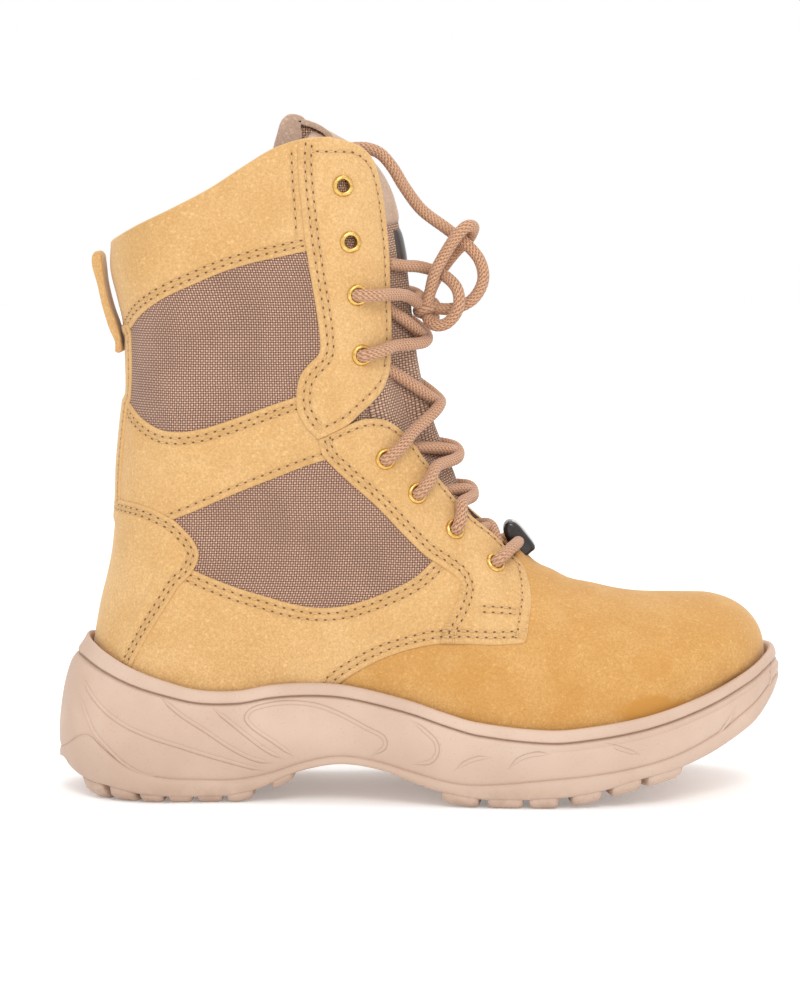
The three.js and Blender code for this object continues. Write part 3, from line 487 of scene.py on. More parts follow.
def into_domain(wb, outline):
    """Points with w moved by whole turns to lie round an outline."""
    middle = (outline[:, 0].min() + outline[:, 0].max()) / 2
    moved = np.array(wb, float)
    moved[:, 0] += 2 * np.round((middle - moved[:, 0]) / 2)
    return moved


def inside_outline(wb, outline):
    a, b = outline, np.roll(outline, -1, 0)
    result = np.zeros(len(wb), bool)
    for start in range(0, len(wb), 4000):
        part = slice(start, start + 4000)
        x, y = wb[part, :1], wb[part, 1:]
        crosses = (a[:, 1] > y) != (b[:, 1] > y)
        rise = np.where(a[:, 1] == b[:, 1], 1e-9, b[:, 1] - a[:, 1])
        cut = a[:, 0] + (y - a[:, 1]) / rise * (b[:, 0] - a[:, 0])
        result[part] = (crosses & (x < cut)).sum(1) % 2 == 1
    return result


def distance_3d(points, line):
    """Distance of points to a polyline."""
    a, d = line[:-1], np.diff(line, axis=0)
    size = np.maximum((d ** 2).sum(1), 1e-12)
    result = np.empty(len(points))
    for start in range(0, len(points), 3000):
        part = slice(start, start + 3000)
        gap = points[part, None] - a
        t = np.clip((gap * d).sum(-1) / size, 0, 1)
        result[part] = np.linalg.norm(gap - t[..., None] * d, axis=-1).min(1)
    return result


def shifted(wb, offset):
    """(w, b) points moved over the last by vectors in millimetres."""
    step = 0.004
    pw = (last.at(wb + [step, 0]) - last.at(wb - [step, 0])) / (2 * step)
    up, down = np.clip(wb[:, 1] + step, 0, 1), np.clip(wb[:, 1] - step, 0, 1)
    pb = (last.at(np.stack([wb[:, 0], up], -1)) - last.at(np.stack([wb[:, 0], down], -1)))
    pb /= (up - down)[:, None]
    ww, wbb, bb = (pw * pw).sum(1), (pw * pb).sum(1), (pb * pb).sum(1)
    ow, ob = (pw * offset).sum(1), (pb * offset).sum(1)
    det = ww * bb - wbb ** 2
    return wb + np.stack([(ow * bb - ob * wbb) / det, (ob * ww - ow * wbb) / det], -1)


def inset(wb, distance, closed=False):
    """A (w, b) line moved to its left, over the last, by a distance in millimetres."""
    points = last.at(wb)
    if closed:
        tangent = np.roll(points, -1, 0) - np.roll(points, 1, 0)
    else:
        tangent = np.gradient(points, axis=0)
    left = np.cross(last.normal(wb), tangent)
    left /= np.maximum(np.linalg.norm(left, axis=1, keepdims=True), 1e-9)
    half_way = shifted(wb, left * distance / 2)
    return shifted(half_way, left * distance / 2)


def side_curve(side, xz, smooth=True):
    """(w, b) line over a side-view curve."""
    points = centripetal(xz) if smooth else np.asarray(xz, float)
    return shares(side, spaced(points, EDGE_STEP))


def share_line(start, end):
    """Straight (w, b) line."""
    start, end = np.asarray(start, float), np.asarray(end, float)
    size = np.linalg.norm((end - start) * PLANE)
    return lerp(start, end, np.linspace(0, 1, max(2, int(size / EDGE_STEP) + 1))[:, None])


def rim_curve(w_from, w_to, below):
    w = share_line((w_from, 0), (w_to, 0))[:, 0]
    return np.stack([w, rim_share(w) - below / PLANE[1]], -1)


def loop(*curves):
    """Closed outline from lines that each start where the one before ends."""
    corners = np.vstack([curve[:-1] for curve in curves])
    points = []
    for here, after in zip(corners, np.roll(corners, -1, 0)):
        pieces = max(1, int(np.linalg.norm((after - here) * PLANE) / (1.6 * EDGE_STEP)))
        points += [lerp(here, after, k / pieces) for k in range(pieces)]
    return np.array(points)


def triangulated(outline, inner):
    """(w, b) points and triangles inside an outline, whose points come first."""
    count = len(outline)
    points = [Vector(p) for p in (np.vstack([outline, inner]) * PLANE).tolist()]
    edges = [(k, (k + 1) % count) for k in range(count)]
    flat, _, faces, *_ = delaunay_2d_cdt(points, edges, [list(range(count))], 1, 1e-6)
    return np.array([(p.x, p.y) for p in flat]) / PLANE, [tuple(face) for face in faces]


HOLE_RINGS = (2.7, 3.6)  # radii of the rings of points round a lace hole


def hole_rings(centres):
    turn = np.linspace(0, 2 * math.pi, 20, endpoint=False)
    rings = []
    for centre in centres:
        normal = last.normal(centre[None])[0]
        across = np.cross(normal, [0, 0, 1])
        across /= np.linalg.norm(across)
        up = np.cross(across, normal)
        for radius in HOLE_RINGS:
            offsets = radius * (np.cos(turn)[:, None] * across + np.sin(turn)[:, None] * up)
            rings.append(shifted(np.repeat(centre[None], len(turn), 0), offsets))
    return np.vstack(rings)


class Panel:
    """A layer over the last, with a closed (w, b) outline, over the layers under it."""

    def __init__(self, name, outline, under=(), thickness=SUEDE):
        self.name, self.outline, self.under = name, outline, under
        self.thickness = thickness
        self.border = last.at(np.vstack([outline, outline[:1]]))
        self.rows = []
        self.holes = np.empty((0, 2))

    def punch(self, points):
        """Rings of points round the holes, and the points that stay clear of them."""
        if not len(self.holes):
            return points, points[:0]
        centres = last.at(self.holes)
        away = np.linalg.norm(last.at(points)[:, None] - centres, axis=-1).min(1)
        return points[away > HOLE_RINGS[-1] + 0.6], hole_rings(self.holes)

    def open_holes(self, wb, faces):
        """The faces left when the holes are cut out."""
        if not len(self.holes):
            return faces
        middles = last.at(np.array([wb[list(face)].mean(0) for face in faces]))
        away = np.linalg.norm(middles[:, None] - last.at(self.holes), axis=-1).min(1)
        return [face for face, gap in zip(faces, away) if gap > 0.97 * HOLE_RINGS[0]]

    def depth(self, wb):
        """Distance in from the border, negative outside it."""
        wb = into_domain(wb, self.outline)
        away = distance_3d(last.at(wb), self.border)
        return np.where(inside_outline(wb, self.outline), away, -away)

    def height(self, wb):
        """Height of its outer face over the last."""
        total = np.full(len(wb), FABRIC_OUT + self.thickness)
        for layer in self.under:
            total += layer.thickness * smoothstep(layer.depth(wb), -1.8, 1.2)
        return total

    def row(self, line, *distances):
        """Rows of stitches beside a line of the border, each at a distance in from it."""
        self.rows += [inset(line, distance) for distance in distances]

    def grid(self):
        """Points over the box round its outline."""
        low, high = self.outline.min(0), self.outline.max(0)
        w = np.arange(low[0], high[0], PANEL_STEP_W)
        b = np.arange(low[1], high[1], PANEL_STEP_B)
        return np.stack([g.ravel() for g in np.meshgrid(w, b, indexing="ij")], -1)

    def build(self, material):
        """The layer's face, with a soft border, grooves under its stitches and a skirt."""
        outline = self.outline
        ring = inset(outline, SOFT_BORDER, closed=True)
        grid = self.grid()
        grid[:, 1] += np.where(np.round(grid[:, 0] / PANEL_STEP_W) % 2 == 1, PANEL_STEP_B / 2, 0)
        rows = [into_domain(row, outline) for row in self.rows]
        seams = [last.at(spaced(row * PLANE, EDGE_STEP) / PLANE) for row in rows]
        inner = [ring[self.depth(ring) > 0.5], grid[self.depth(grid) > 1.5]]
        for row in rows:
            inner.append(row[self.depth(row) > 1.2])
        points = np.vstack([outline] + inner)
        if seams:
            start = len(outline) + len(inner[0])
            end = start + len(inner[1])
            away = np.min([distance_3d(last.at(points[start:end]), s) for s in seams], axis=0)
            points = np.delete(points, start + np.flatnonzero(away < 0.9), axis=0)
        count = len(outline)
        clear, rings = self.punch(points[count:])
        wb, faces = triangulated(outline, np.vstack([clear, rings]))
        faces = self.open_holes(wb, faces)
        depth = np.maximum(self.depth(wb), 0)
        depth[:count] = 0
        drop = 0.5 * self.thickness * (1 - smoothstep(depth, 0, SOFT_BORDER))
        seam = np.full(len(wb), NO_SEAM)
        surface = last.at(wb)
        for line in seams:
            seam = np.minimum(seam, distance_3d(surface, line))
        groove = 0.22 * np.exp(-(seam / 0.8) ** 2)
        height = self.height(wb)
        top = last.at(wb, height - drop - groove)
        skirt = last.at(wb[:count], height[:count] - self.thickness - 0.25)
        faces += wall_faces(count, len(wb))
        obj = mesh_object(self.name, np.vstack([top, skirt]), faces, material)
        put_values(obj, "edge", np.r_[depth, np.zeros(count)])
        put_values(obj, "seam", np.r_[seam, seam[:count]])


# Side-view curves of the panels' edges, the same on both sides.
COLLAR_BOTTOM = [(27.9, 191.2), (31.5, 194.3), (35.6, 199.2), (45.8, 206.5), (58, 212.2),
                 (70.2, 217.4), (82.3, 221.2), (94.5, 223.9), (104.9, 226.2), (112, 227.6)]
COLLAR_END = (112.5, 271.8)
BAND_TOP = [(28.3, 165), (31.2, 162.7), (35.3, 158.6), (43.4, 153.7), (51.5, 152.5),
            (61.7, 153.7), (73.9, 157.4), (86.1, 161.8), (96.3, 165.5), (102.4, 167.5), (110, 170)]
BAND_BOTTOM = [(23.6, 114), (34, 112), (44, 113.2), (50.2, 116.5), (57.1, 119.3),
               (74.3, 126.8), (90, 133.1), (106.4, 139.4), (113.7, 141.5), (120, 142.8)]
COUNTER_EDGE = [(24.6, 123.2), (36.2, 122.1), (44.7, 119.1), (50.2, 116.1), (54.3, 112.3),
                (58.4, 107.5), (60.4, 102), (57.6, 94.8), (52.1, 89), (47.4, 81.5),
                (42.5, 73.9), (37.5, 65.4), (33.2, 57.2), (29.5, 49.5)]
QUARTER_TOP = [(48, 101), (58.7, 95.5), (67.2, 91.8), (77.4, 88), (87.7, 85), (97.3, 82.3),
               (109.4, 80.5), (120.5, 81.5), (134.9, 86.2), (148.9, 93.2), (156, 99.4), (162, 106)]
QUARTER_FRONT = [(115, 46), (118.9, 49.9), (128.7, 56.5), (138.9, 61.5), (149.1, 64.8),
                 (159.6, 66.9), (168.5, 67.4)]
FACING_LOW_REAR = [(109.6, 149.8), (111.6, 143.1), (134.9, 120.7), (144.3, 110.8), (153.7, 101.9),
                   (161.2, 96.7), (165.6, 93.6), (167.7, 90.3), (167.2, 86.6), (164.8, 80.5),
                   (161.1, 73.2), (159.6, 66.9)]
FACING_BOTTOM = [(159.6, 66.9), (170, 66.9), (181.5, 66.6), (193.6, 67.3)]
FACING_NOSE = [(193.6, 67.3), (194.6, 69), (196, 76.6), (197, 82), (196.8, 87), (195.8, 92),
               (194.2, 95.4)]
THROAT_LOW = [(194.2, 95.4), (191.5, 98.2), (187.2, 103.4), (182.4, 108.7), (172.8, 116.9),
              (168, 122), (160.8, 130.7), (153.5, 140.6), (146.6, 150), (140.7, 155.4),
              (136, 157.6), (129, 157.9), (122.5, 155.8), (109.6, 149.8)]
FACING_UP_REAR = [(102.2, 271.3), (101.8, 264), (102.2, 254.3), (103.3, 242.8), (104.9, 228.4),
                  (107.2, 213.4), (108.9, 203.1), (110.4, 191.6), (110.2, 185), (105.9, 180.3),
                  (102.8, 176.4), (101.1, 170.5), (101.3, 161.5), (104.6, 154.8), (109.6, 149.8)]
FACING_UP_LOW = [(109.6, 149.8), (122.1, 155.9), (127.3, 160.5), (132.5, 165.1), (136.6, 170.1),
                 (138.9, 175.8)]
FACING_UP_FRONT = [(138.9, 175.8), (139.7, 183), (139.8, 196.7), (139.3, 213.7), (138.9, 225.3),
                   (137.7, 238.1), (136.1, 250.3), (133.7, 260.2), (131.4, 264.7), (128, 268),
                   (122.3, 270.4), (115, 272)]
VAMP_REAR = [(192.2, 103.5), (190.5, 99), (185.5, 92), (175, 85), (158, 80), (134, 70),
             (114, 58), (102, 46)]
BACKSTAY_EDGE = [(31.2, 196), (31.4, 186), (31.6, 174), (30.4, 162), (28.6, 146), (27.4, 132),
                 (27, 118)]
CUP_DEPTH = 6  # how far the panels go down inside the sole's cup


def both_sides(line):
    return side_curve(LATERAL, line), side_curve(MEDIAL, line)


def collar_panel():
    near, far = both_sides(COLLAR_BOTTOM)
    end = shares(LATERAL, [COLLAR_END])[0]
    top = share_line((end[0], 1), (-end[0], 1))
    outline = loop(near, share_line(near[-1], top[0]), top, share_line(top[-1], far[-1]), far[::-1])
    panel = Panel("collar_panel", outline)
    panel.row(near, 2.3, 4.6)
    panel.row(far[::-1], 2.3, 4.6)
    for side in (LATERAL, MEDIAL):
        panel.rows.append(side_curve(side, [(99.3, 266.5), (99.6, 256), (100.6, 243), (101.2, 231)]))
    return panel


def band_panel():
    near_low, far_low = both_sides(BAND_BOTTOM)
    near_top, far_top = both_sides(BAND_TOP)
    outline = loop(near_low, share_line(near_low[-1], near_top[-1]), near_top[::-1], far_top,
                   share_line(far_top[-1], far_low[-1]), far_low[::-1])
    panel = Panel("ankle_band", outline)
    for line in (near_low, far_low[::-1]):
        panel.row(line, 2.8)
    for line in (near_top[::-1], far_top):
        panel.row(line, 2.4, 4.7)
    return panel


def counter_panel(under):
    near, far = both_sides(COUNTER_EDGE)
    rim = rim_curve(-near[-1, 0], near[-1, 0], CUP_DEPTH)
    near[-1], far[-1] = rim[-1], rim[0]
    panel = Panel("heel_counter", loop(rim, near[::-1], far), under)
    for line in (near[::-1], far):
        panel.row(line, 2.1, 4.2)
    return panel


def facing_sign(side, line):
    """A line turned so that its panel lies on its left on either side of the boot."""
    return line if side == LATERAL else line[::-1]


def side_panel(side, name, under, *lines):
    outline = loop(*lines)
    if side == MEDIAL:
        outline = outline[::-1]
    return Panel(name, outline, under)


def quarter_panel(side, word, under):
    top, front = side_curve(side, QUARTER_TOP), side_curve(side, QUARTER_FRONT)
    hidden = side_curve(side, [QUARTER_FRONT[-1], (174, 78), (171, 94), QUARTER_TOP[-1]])
    behind = side_curve(side, [QUARTER_TOP[0], (38, 84), (27.5, 62)])
    rim = rim_curve(behind[-1, 0], front[0, 0], CUP_DEPTH)
    behind[-1], front[0] = rim[0], rim[-1]
    panel = side_panel(side, f"quarter_{word}", under, rim, front, hidden, top[::-1], behind)
    panel.row(facing_sign(side, top[::-1]), 2.3, 5.0)
    panel.row(facing_sign(side, front), 2.6, 5.4)
    return panel


def low_facing(side, word, under):
    rear, bottom, nose, throat = (side_curve(side, line) for line in (
        FACING_LOW_REAR, FACING_BOTTOM, FACING_NOSE, THROAT_LOW))
    panel = side_panel(side, f"facing_low_{word}", under, rear, bottom, nose, throat)
    panel.row(facing_sign(side, rear), 2.7, 5.1)
    panel.row(facing_sign(side, bottom), 2.8, 5.3)
    panel.row(facing_sign(side, nose), 4.2)
    panel.row(facing_sign(side, throat), 2.6)
    for bar in ([(176.1, 81.4), (192.4, 79.9)], [(176.3, 79.1), (192.4, 78)]):
        panel.rows.append(side_curve(side, bar, smooth=False))
    return panel


def high_facing(side, word, under):
    rear, low, front = (side_curve(side, line) for line in (
        FACING_UP_REAR, FACING_UP_LOW, FACING_UP_FRONT))
    top = share_line((front[-1, 0], 1), (rear[0, 0], 1))
    front[-1], rear[0] = top[0], top[-1]
    panel = side_panel(side, f"facing_high_{word}", under, rear, low, front, top)
    panel.row(facing_sign(side, rear[1:-1]), 3.0, 5.5)
    panel.row(facing_sign(side, low[3:]), 3.4)
    panel.row(facing_sign(side, front[1:-4]), 3.9)
    panel.row(facing_sign(side, side_curve(side, [(124, 270.6), (106, 271)])), 4.6)
    return panel


def vamp_panel():
    near, far = both_sides(VAMP_REAR)
    far = far + [2, 0]
    rim = rim_curve(near[-1, 0], far[-1, 0], CUP_DEPTH)
    near[-1], far[-1] = rim[0], rim[-1]
    far[0] = near[0] = (1, near[0, 1])
    return Panel("vamp", loop(rim, far[::-1], near))


def backstay_panel(under):
    near, far = both_sides(BACKSTAY_EDGE)
    top, bottom = share_line(near[0], far[0]), share_line(far[-1], near[-1])
    panel = Panel("backstay", loop(bottom, near[::-1], top, far), under)
    panel.row(near[::-1], 2.0)
    panel.row(far, 2.0)
    return panel


def shell_outline(side):
    """Half of the shell's outline, from the front line down the throat's edge to the collar."""
    lines = [side_curve(side, line) for line in (
        [(197.6, 98.5), (194.2, 95.4)], THROAT_LOW[:-1], FACING_UP_LOW[1:], FACING_UP_FRONT)]
    return np.vstack([lines[0][:-1], lines[1], lines[2][:-1], lines[3]])


def upper_shell():
    """Fabric outside, lining inside: open at the collar and the throat, down to the insole."""
    near, far = shell_outline(LATERAL), shell_outline(MEDIAL)
    near, far = inset(near, 0.45), inset(far, -0.45)
    near[0], far[0] = (1, near[0, 1]), (-1, far[0, 1])
    near[-1, 1] = far[-1, 1] = 1
    low = 0.01
    parts = [share_line((-1, low), (1, low)), share_line((1, low), near[0]), near,
             share_line(near[-1], far[-1]), far[::-1], share_line(far[0], (-1, low))]
    return Panel("upper_shell", loop(*parts), thickness=0)


def build_sheet(panel, face_out, back_out, materials):
    """A panel's two faces, at heights over the last, with its edge between them."""
    grid = panel.grid()
    clear, rings = panel.punch(grid[panel.depth(grid) > 1.2])
    wb, faces = triangulated(panel.outline, np.vstack([clear, rings]))
    faces = panel.open_holes(wb, faces)
    back = [tuple(len(wb) + k for k in face[::-1]) for face in faces]
    obj = mesh_object(panel.name, np.vstack([last.at(wb, face_out), last.at(wb, back_out)]),
                      faces + back + wall_faces(len(panel.outline), len(wb)), materials)
    for polygon in obj.data.polygons[len(faces):]:
        polygon.material_index = len(materials) - 1
    uv = np.stack([last.read(last.girth, wb)[:, 0], last.at(wb)[:, 2]], -1)
    put_uv(obj, np.vstack([uv, uv]))
    return obj


# ------------------------------------------------------------------ stitches
THREAD = 0.36  # radius
STITCH_PITCH = 3.7
STITCH_LENGTH = 2.5
# Share of a stitch's length, height of its middle over the panel, share of the full radius.
STITCH_SHAPE = np.array([(0, -0.4, 0.5), (0.2, -0.04, 0.9), (0.5, 0.06, 1), (0.8, -0.04, 0.9),
                         (1, -0.4, 0.5)])
STITCH_SIDES, HOLE_SIDES = 6, 8


def stitch_parts(panel, row):
    """Threads, and dark ovals of painted shade at the holes between them, along one row of a panel."""
    row = into_domain(row, panel.outline)
    height = panel.height(row)
    line, normals = last.at(row, height), last.normal(row)
    reach = lengths(line)
    count = max(1, int(reach[-1] / STITCH_PITCH))
    starts = (reach[-1] - count * STITCH_PITCH) / 2 + np.arange(count) * STITCH_PITCH
    threads, holes = [], []
    shares_along, lift, thick = STITCH_SHAPE.T * [[1], [1], [THREAD]]
    turn = np.linspace(0, 2 * math.pi, STITCH_SIDES, endpoint=False)
    for start in starts:
        at = start + shares_along * STITCH_LENGTH + 0.5 * (STITCH_PITCH - STITCH_LENGTH)
        p, n = along_with(line, normals, reach, at)
        axis = p[-1] - p[0]
        axis /= max(np.linalg.norm(axis), 1e-9)
        side = np.cross(axis, n)
        side /= np.maximum(np.linalg.norm(side, axis=1, keepdims=True), 1e-9)
        middle = p + n * lift[:, None]
        ring = middle[:, None] + thick[:, None, None] * (
            side[:, None] * np.cos(turn)[:, None] + n[:, None] * np.sin(turn)[:, None])
        faces = grid_faces(len(thick), STITCH_SIDES, wrap_columns=True)
        threads.append((ring.reshape(-1, 3), faces))
        hole, hole_n = along_with(line, normals, reach, np.array([start]))
        holes.append(hole_shade_disc(hole[0], hole_n[0], axis, side[2]))
    return threads, holes


def along_with(line, normals, reach, at):
    """Points and normals at distances along a line."""
    p = np.stack([np.interp(at, reach, line[:, k]) for k in range(3)], -1)
    n = np.stack([np.interp(at, reach, normals[:, k]) for k in range(3)], -1)
    return p, n / np.maximum(np.linalg.norm(n, axis=1, keepdims=True), 1e-9)


def hole_shade_disc(centre, normal, axis, side):
    """A dark oval of painted shade where the needle went in."""
    turn = np.linspace(0, 2 * math.pi, HOLE_SIDES, endpoint=False)
    rim = (centre + 0.05 * normal + 0.6 * np.cos(turn)[:, None] * axis
           + 0.34 * np.sin(turn)[:, None] * side)
    points = np.vstack([rim, centre + 0.1 * normal])
    faces = [(k, (k + 1) % HOLE_SIDES, HOLE_SIDES) for k in range(HOLE_SIDES)]
    upward = np.cross(rim[1] - rim[0], points[-1] - rim[0]) @ normal
    return points, faces if upward > 0 else [f[::-1] for f in faces]


def stitch_all(name, panels, thread, hole):
    threads, holes = [], []
    for panel in panels:
        for row in panel.rows:
            some_threads, some_holes = stitch_parts(panel, row)
            threads += some_threads
            holes += some_holes
    points, faces = merged(threads)
    mesh_object(name + "_thread", points, faces, thread)
    # Dark ovals of painted shade at the needle holes.
    points, faces = merged(holes)
    mesh_object(name + "_holes", points, faces, hole)


# ------------------------------------------------------------------ sole
# Sole wall from the rim's inner edge down: how far a level stands out from the upper at the
# heel, the sides and the toe, its height between two sole lines, and a drop in millimetres.
MIDSOLE_LEVELS = [
    (1.9, 1.8, 2, 0, -0.1), (2.5, 2.6, 2.9, 0, -0.3), (3.2, 3.6, 3.8, 0, 0.1),
    (4, 4.4, 4.5, 0, 1.2), (5.5, 4.8, 5, 0, 2.8), (6.7, 4.9, 5.2, 0, 3.9),
    (6.9, 4.6, 5, 0, 4.4), (6.3, 3.6, 4.4, 0, 4.7), (6.5, 3.5, 4.4, 0, 5.2),
    (7.9, 4.3, 5, 0, 5.6), (8.9, 4.8, 5.4, 0, 6.3), (10.1, 5.1, 5.8, 0, 7.6),
    (12.3, 5.9, 6.2, 0.42, 0), (14, 6.5, 6.4, 0.6, 0), (15, 6.5, 6.4, 0.78, 0),
    (15.1, 6.2, 6.2, 0.92, 0), (14.7, 5.7, 5.8, 0.98, -0.2), (14.1, 5, 5.1, 1, 0.1)]
ROW_GAP = 0.35  # least fall from one row of the wall to the next
WALL_PIECES = 3  # rows of the finished wall for each level
# The groove's levels are darkened with painted shade, through the groove value.
GROOVE_FROM, GROOVE_TO = 7, 8  # levels of the dark groove
# Share of the way up from the feather to the rim, and gap to the upper, inside the cup.
CUP_LEVELS = [(0, CUP_GAP), (0.33, CUP_GAP), (0.66, CUP_GAP), (0.8, 1.3), (1, 1.5)]
OUTSOLE_LEVELS = [(14, 5.2, 5.2, 0, -0.6), (14.8, 6, 6, 0, 0.1), (15.1, 6.5, 6.4, 0, 0.9),
                  (15, 6.6, 6.4, 0, 2)]
# Levels where the wall turns in under the boot, each with its height over the tread's base.
UNDER_LEVELS = [((13.9, 6.5, 6.1, 0, 0), 1.4), ((13, 6, 5.5, 0, 0), 0.4),
                ((11.6, 4.8, 4, 0, 0), 0)]
# Underside of the tread between its lugs (x, z).
TREAD_BASE = np.array([
    (-1, 17), (1, 14.5), (4, 11.8), (10, 9), (16, 7.2), (22.3, 6.4), (35.7, 4), (48.8, 3),
    (60.7, 2.8), (72.6, 3.2), (84.1, 5.8), (91.9, 9.3), (98.8, 12.6), (106.2, 16.3), (114.4, 18.4),
    (122.6, 18.4), (134.8, 15.5), (147.1, 10.6), (158.2, 7), (171.7, 4.4), (184, 3.8),
    (208.5, 4.8), (224.9, 7.4), (239.6, 11.6), (257.6, 15.8), (276, 22.6), (290, 31),
    (298, 39), (304, 46)])
# Side lugs: where each starts and ends along the boot.
LUGS = [(9, 19), (21.8, 33), (35.2, 45.6), (47.6, 57.8), (59.6, 70), (71.8, 82.6), (90.2, 98.8),
        (159.5, 174.8), (178.3, 193), (195.4, 207.6), (213, 225.4), (229.6, 241.6),
        (244.4, 259.4)]
MIDDLE_LUG_HALF = 13  # half the width of the bars between them
# Raised lines on the sole's side (x, z).
RIDGES = [
    [(100.1, 19.8), (91.3, 26), (82.4, 32.1), (79.9, 35.6), (81.9, 38.6), (89.3, 41.1),
     (99.2, 42.1), (109.1, 41.1), (119, 37.6), (128.9, 32.6), (136.3, 28.6), (136.8, 25),
     (131.3, 21)],
    [(95.7, 18.8), (88.3, 22.5), (79.4, 29.1), (72.5, 34.6), (66.4, 39.4)],
    [(91.2, 17), (82.3, 19), (73.4, 23.5), (63.6, 30.1), (53.7, 36.6), (44.9, 44.1)],
    [(87.2, 14), (75.4, 17), (63.5, 20.5), (51.6, 24.5), (40.8, 28.1), (30.9, 32.1),
     (22.1, 37.6), (15.2, 44.6), (11.8, 50.6)],
    [(44, 11.6), (37.7, 12.5), (29.8, 16.5), (22.9, 22.5), (17, 28.6), (13.2, 36.6), (10.3, 43.6)],
    [(147.6, 35.9), (153.1, 31.8), (157.6, 27.2), (158.1, 23.1), (155.6, 19.5), (148.1, 18)],
    [(165.2, 16), (169.2, 19), (174.3, 21.1), (180.3, 21.6)],
    [(186.9, 17), (191.4, 21.1), (196.5, 22.9), (204.5, 23.3)],
    [(226.7, 27.4), (233.8, 24.7), (241, 22.5)],
    [(281.7, 38.9), (278.6, 33.2), (271.5, 26.4), (261.3, 20.7), (251, 17.1)],
    [(298.7, 54), (297.5, 46.7), (291.9, 38.4), (283.8, 31.1)]]


def level_offset(level, w):
    heel, side, toe = level[:3]
    a = np.where(w <= 1, w, 2 - w)
    to_heel, to_toe = 1 - smoothstep(a, 0.02, 0.3), smoothstep(a, 0.74, 0.97)
    return side + (heel - side) * to_heel + (toe - side) * to_toe


def level_normal(wb):
    normal = last.normal(wb) * [1, 1, 0]
    return normal / np.linalg.norm(normal, axis=1, keepdims=True)


def sole_ring(w, level, upper_line, lower_line, in_by=0.0):
    """Points of one level of the sole's wall."""
    wb = np.stack([w, rim_share(w)], -1)
    place = last.at(wb) + level_normal(wb) * (level_offset(level, w) - in_by)[:, None]
    upper, lower = upper_line(place[:, 0]), lower_line(place[:, 0])
    drop = level[4] * (1 + 0.7 * (1 - smoothstep(np.where(w <= 1, w, 2 - w), 0.02, 0.3)) * (
        level[3] == 0))
    place[:, 2] = lerp(upper, np.minimum(upper, lower), level[3]) - drop
    return place


def base_line(x):
    return np.maximum(look_up(TREAD_BASE, 1, x), np.where(x > 12, ground_line(x), 0))


def build_midsole(material):
    w = np.linspace(0, 2, W_CELLS + 1)[:-1]
    wall = np.array([sole_ring(w, level, rim_line, tread_line) for level in MIDSOLE_LEVELS])
    for above, row in zip(wall[2:], wall[3:]):
        row[:, 2] = np.minimum(row[:, 2], above[:, 2] - ROW_GAP)
    wall = centripetal(wall, WALL_PIECES)
    rows, columns = wall.shape[:2]
    cup = []
    for share, gap in CUP_LEVELS:
        wb = np.stack([w, rim_share(w) * share], -1)
        cup.append(last.at(wb) + level_normal(wb) * gap)
    shelf = sole_ring(w, (3.6, -3.4, -5.4, 0, -0.35), shelf_line, shelf_line)
    points = np.vstack([*cup, *wall, shelf])
    total = len(cup) + rows + 1
    faces = [tuple(f[::-1]) for f in grid_faces(total, columns, wrap_columns=True)]
    faces += [f[::-1] for f in ladder_faces(columns, 0, False)]
    faces += [f[::-1] for f in ladder_faces(columns, (total - 1) * columns, True)]
    obj = mesh_object("midsole_wall", points, faces, material)
    outward(obj)
    values = np.zeros((total, columns))
    # Painted shade along the groove's levels.
    values[len(cup) + WALL_PIECES * GROOVE_FROM - 1:len(cup) + WALL_PIECES * GROOVE_TO + 1] = 1
    put_values(obj, "groove", values.ravel())
    put_values(obj, "floor", points[:, 2])
    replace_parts(obj, "midsole")
    return obj


# Across the line, height over the wall, and how dark with painted shade, for each point of a raised
# line.
RIDGE_SECTION = np.array([(-1.15, -0.2, 1), (-0.65, 0.36, 0.5), (0, 0.66, 0), (0.65, 0.36, 0.1),
                          (1.15, -0.2, 1)])


def ridge_parts(wall):
    """Raised lines on the sole's side, laid on the wall's own faces."""
    tree = BVHTree.FromObject(wall, bpy.context.evaluated_depsgraph_get())
    across, rise = RIDGE_SECTION.T[:2]
    parts = []
    for line in RIDGES:
        curve = smooth_curve(line, 0.8)
        reach = lengths(curve)
        taper = np.clip(np.minimum(reach, reach[-1] - reach) / 5, 0.2, 1)
        for side in (LATERAL, MEDIAL):
            places, normals = [], []
            for x, z in curve:
                start = Vector(to_frame((x, side * 120, z)))
                hit, normal, *_ = tree.ray_cast(start, Vector((0, -side, 0)))
                if hit is None:
                    break
                places.append(np.array(hit) * 1000 - SHIFT)
                normals.append(np.array(normal))
            if len(places) < 4:
                continue
            places, normals = np.array(places), np.array(normals)
            ahead = np.gradient(places, axis=0)
            ahead /= np.linalg.norm(ahead, axis=1, keepdims=True)
            sideways = np.cross(normals, ahead) * side
            thick = taper[:len(places), None, None]
            points = (places[:, None] + sideways[:, None] * across[:, None] * thick
                      + normals[:, None] * rise[:, None] * thick).reshape(-1, 3)
            faces = grid_faces(len(places), len(across))
            if side == MEDIAL:
                faces = faces[:, ::-1]
            parts.append((points, faces))
    return parts


def build_ridges(wall, material):
    points, faces = merged(ridge_parts(wall))
    obj = mesh_object("sole_ridges", points, faces, material)
    # Painted shade at the feet and on one flank of each raised line.
    dark = RIDGE_SECTION[:, 2]
    put_values(obj, "groove", np.tile(dark, len(points) // len(dark)))
    put_values(obj, "floor", points[:, 2])


def outward(obj):
    """Turn a closed mesh's faces outward."""
    mesh = bmesh.new()
    mesh.from_mesh(obj.data)
    bmesh.ops.recalc_face_normals(mesh, faces=mesh.faces)
    mesh.to_mesh(obj.data)
    mesh.free()


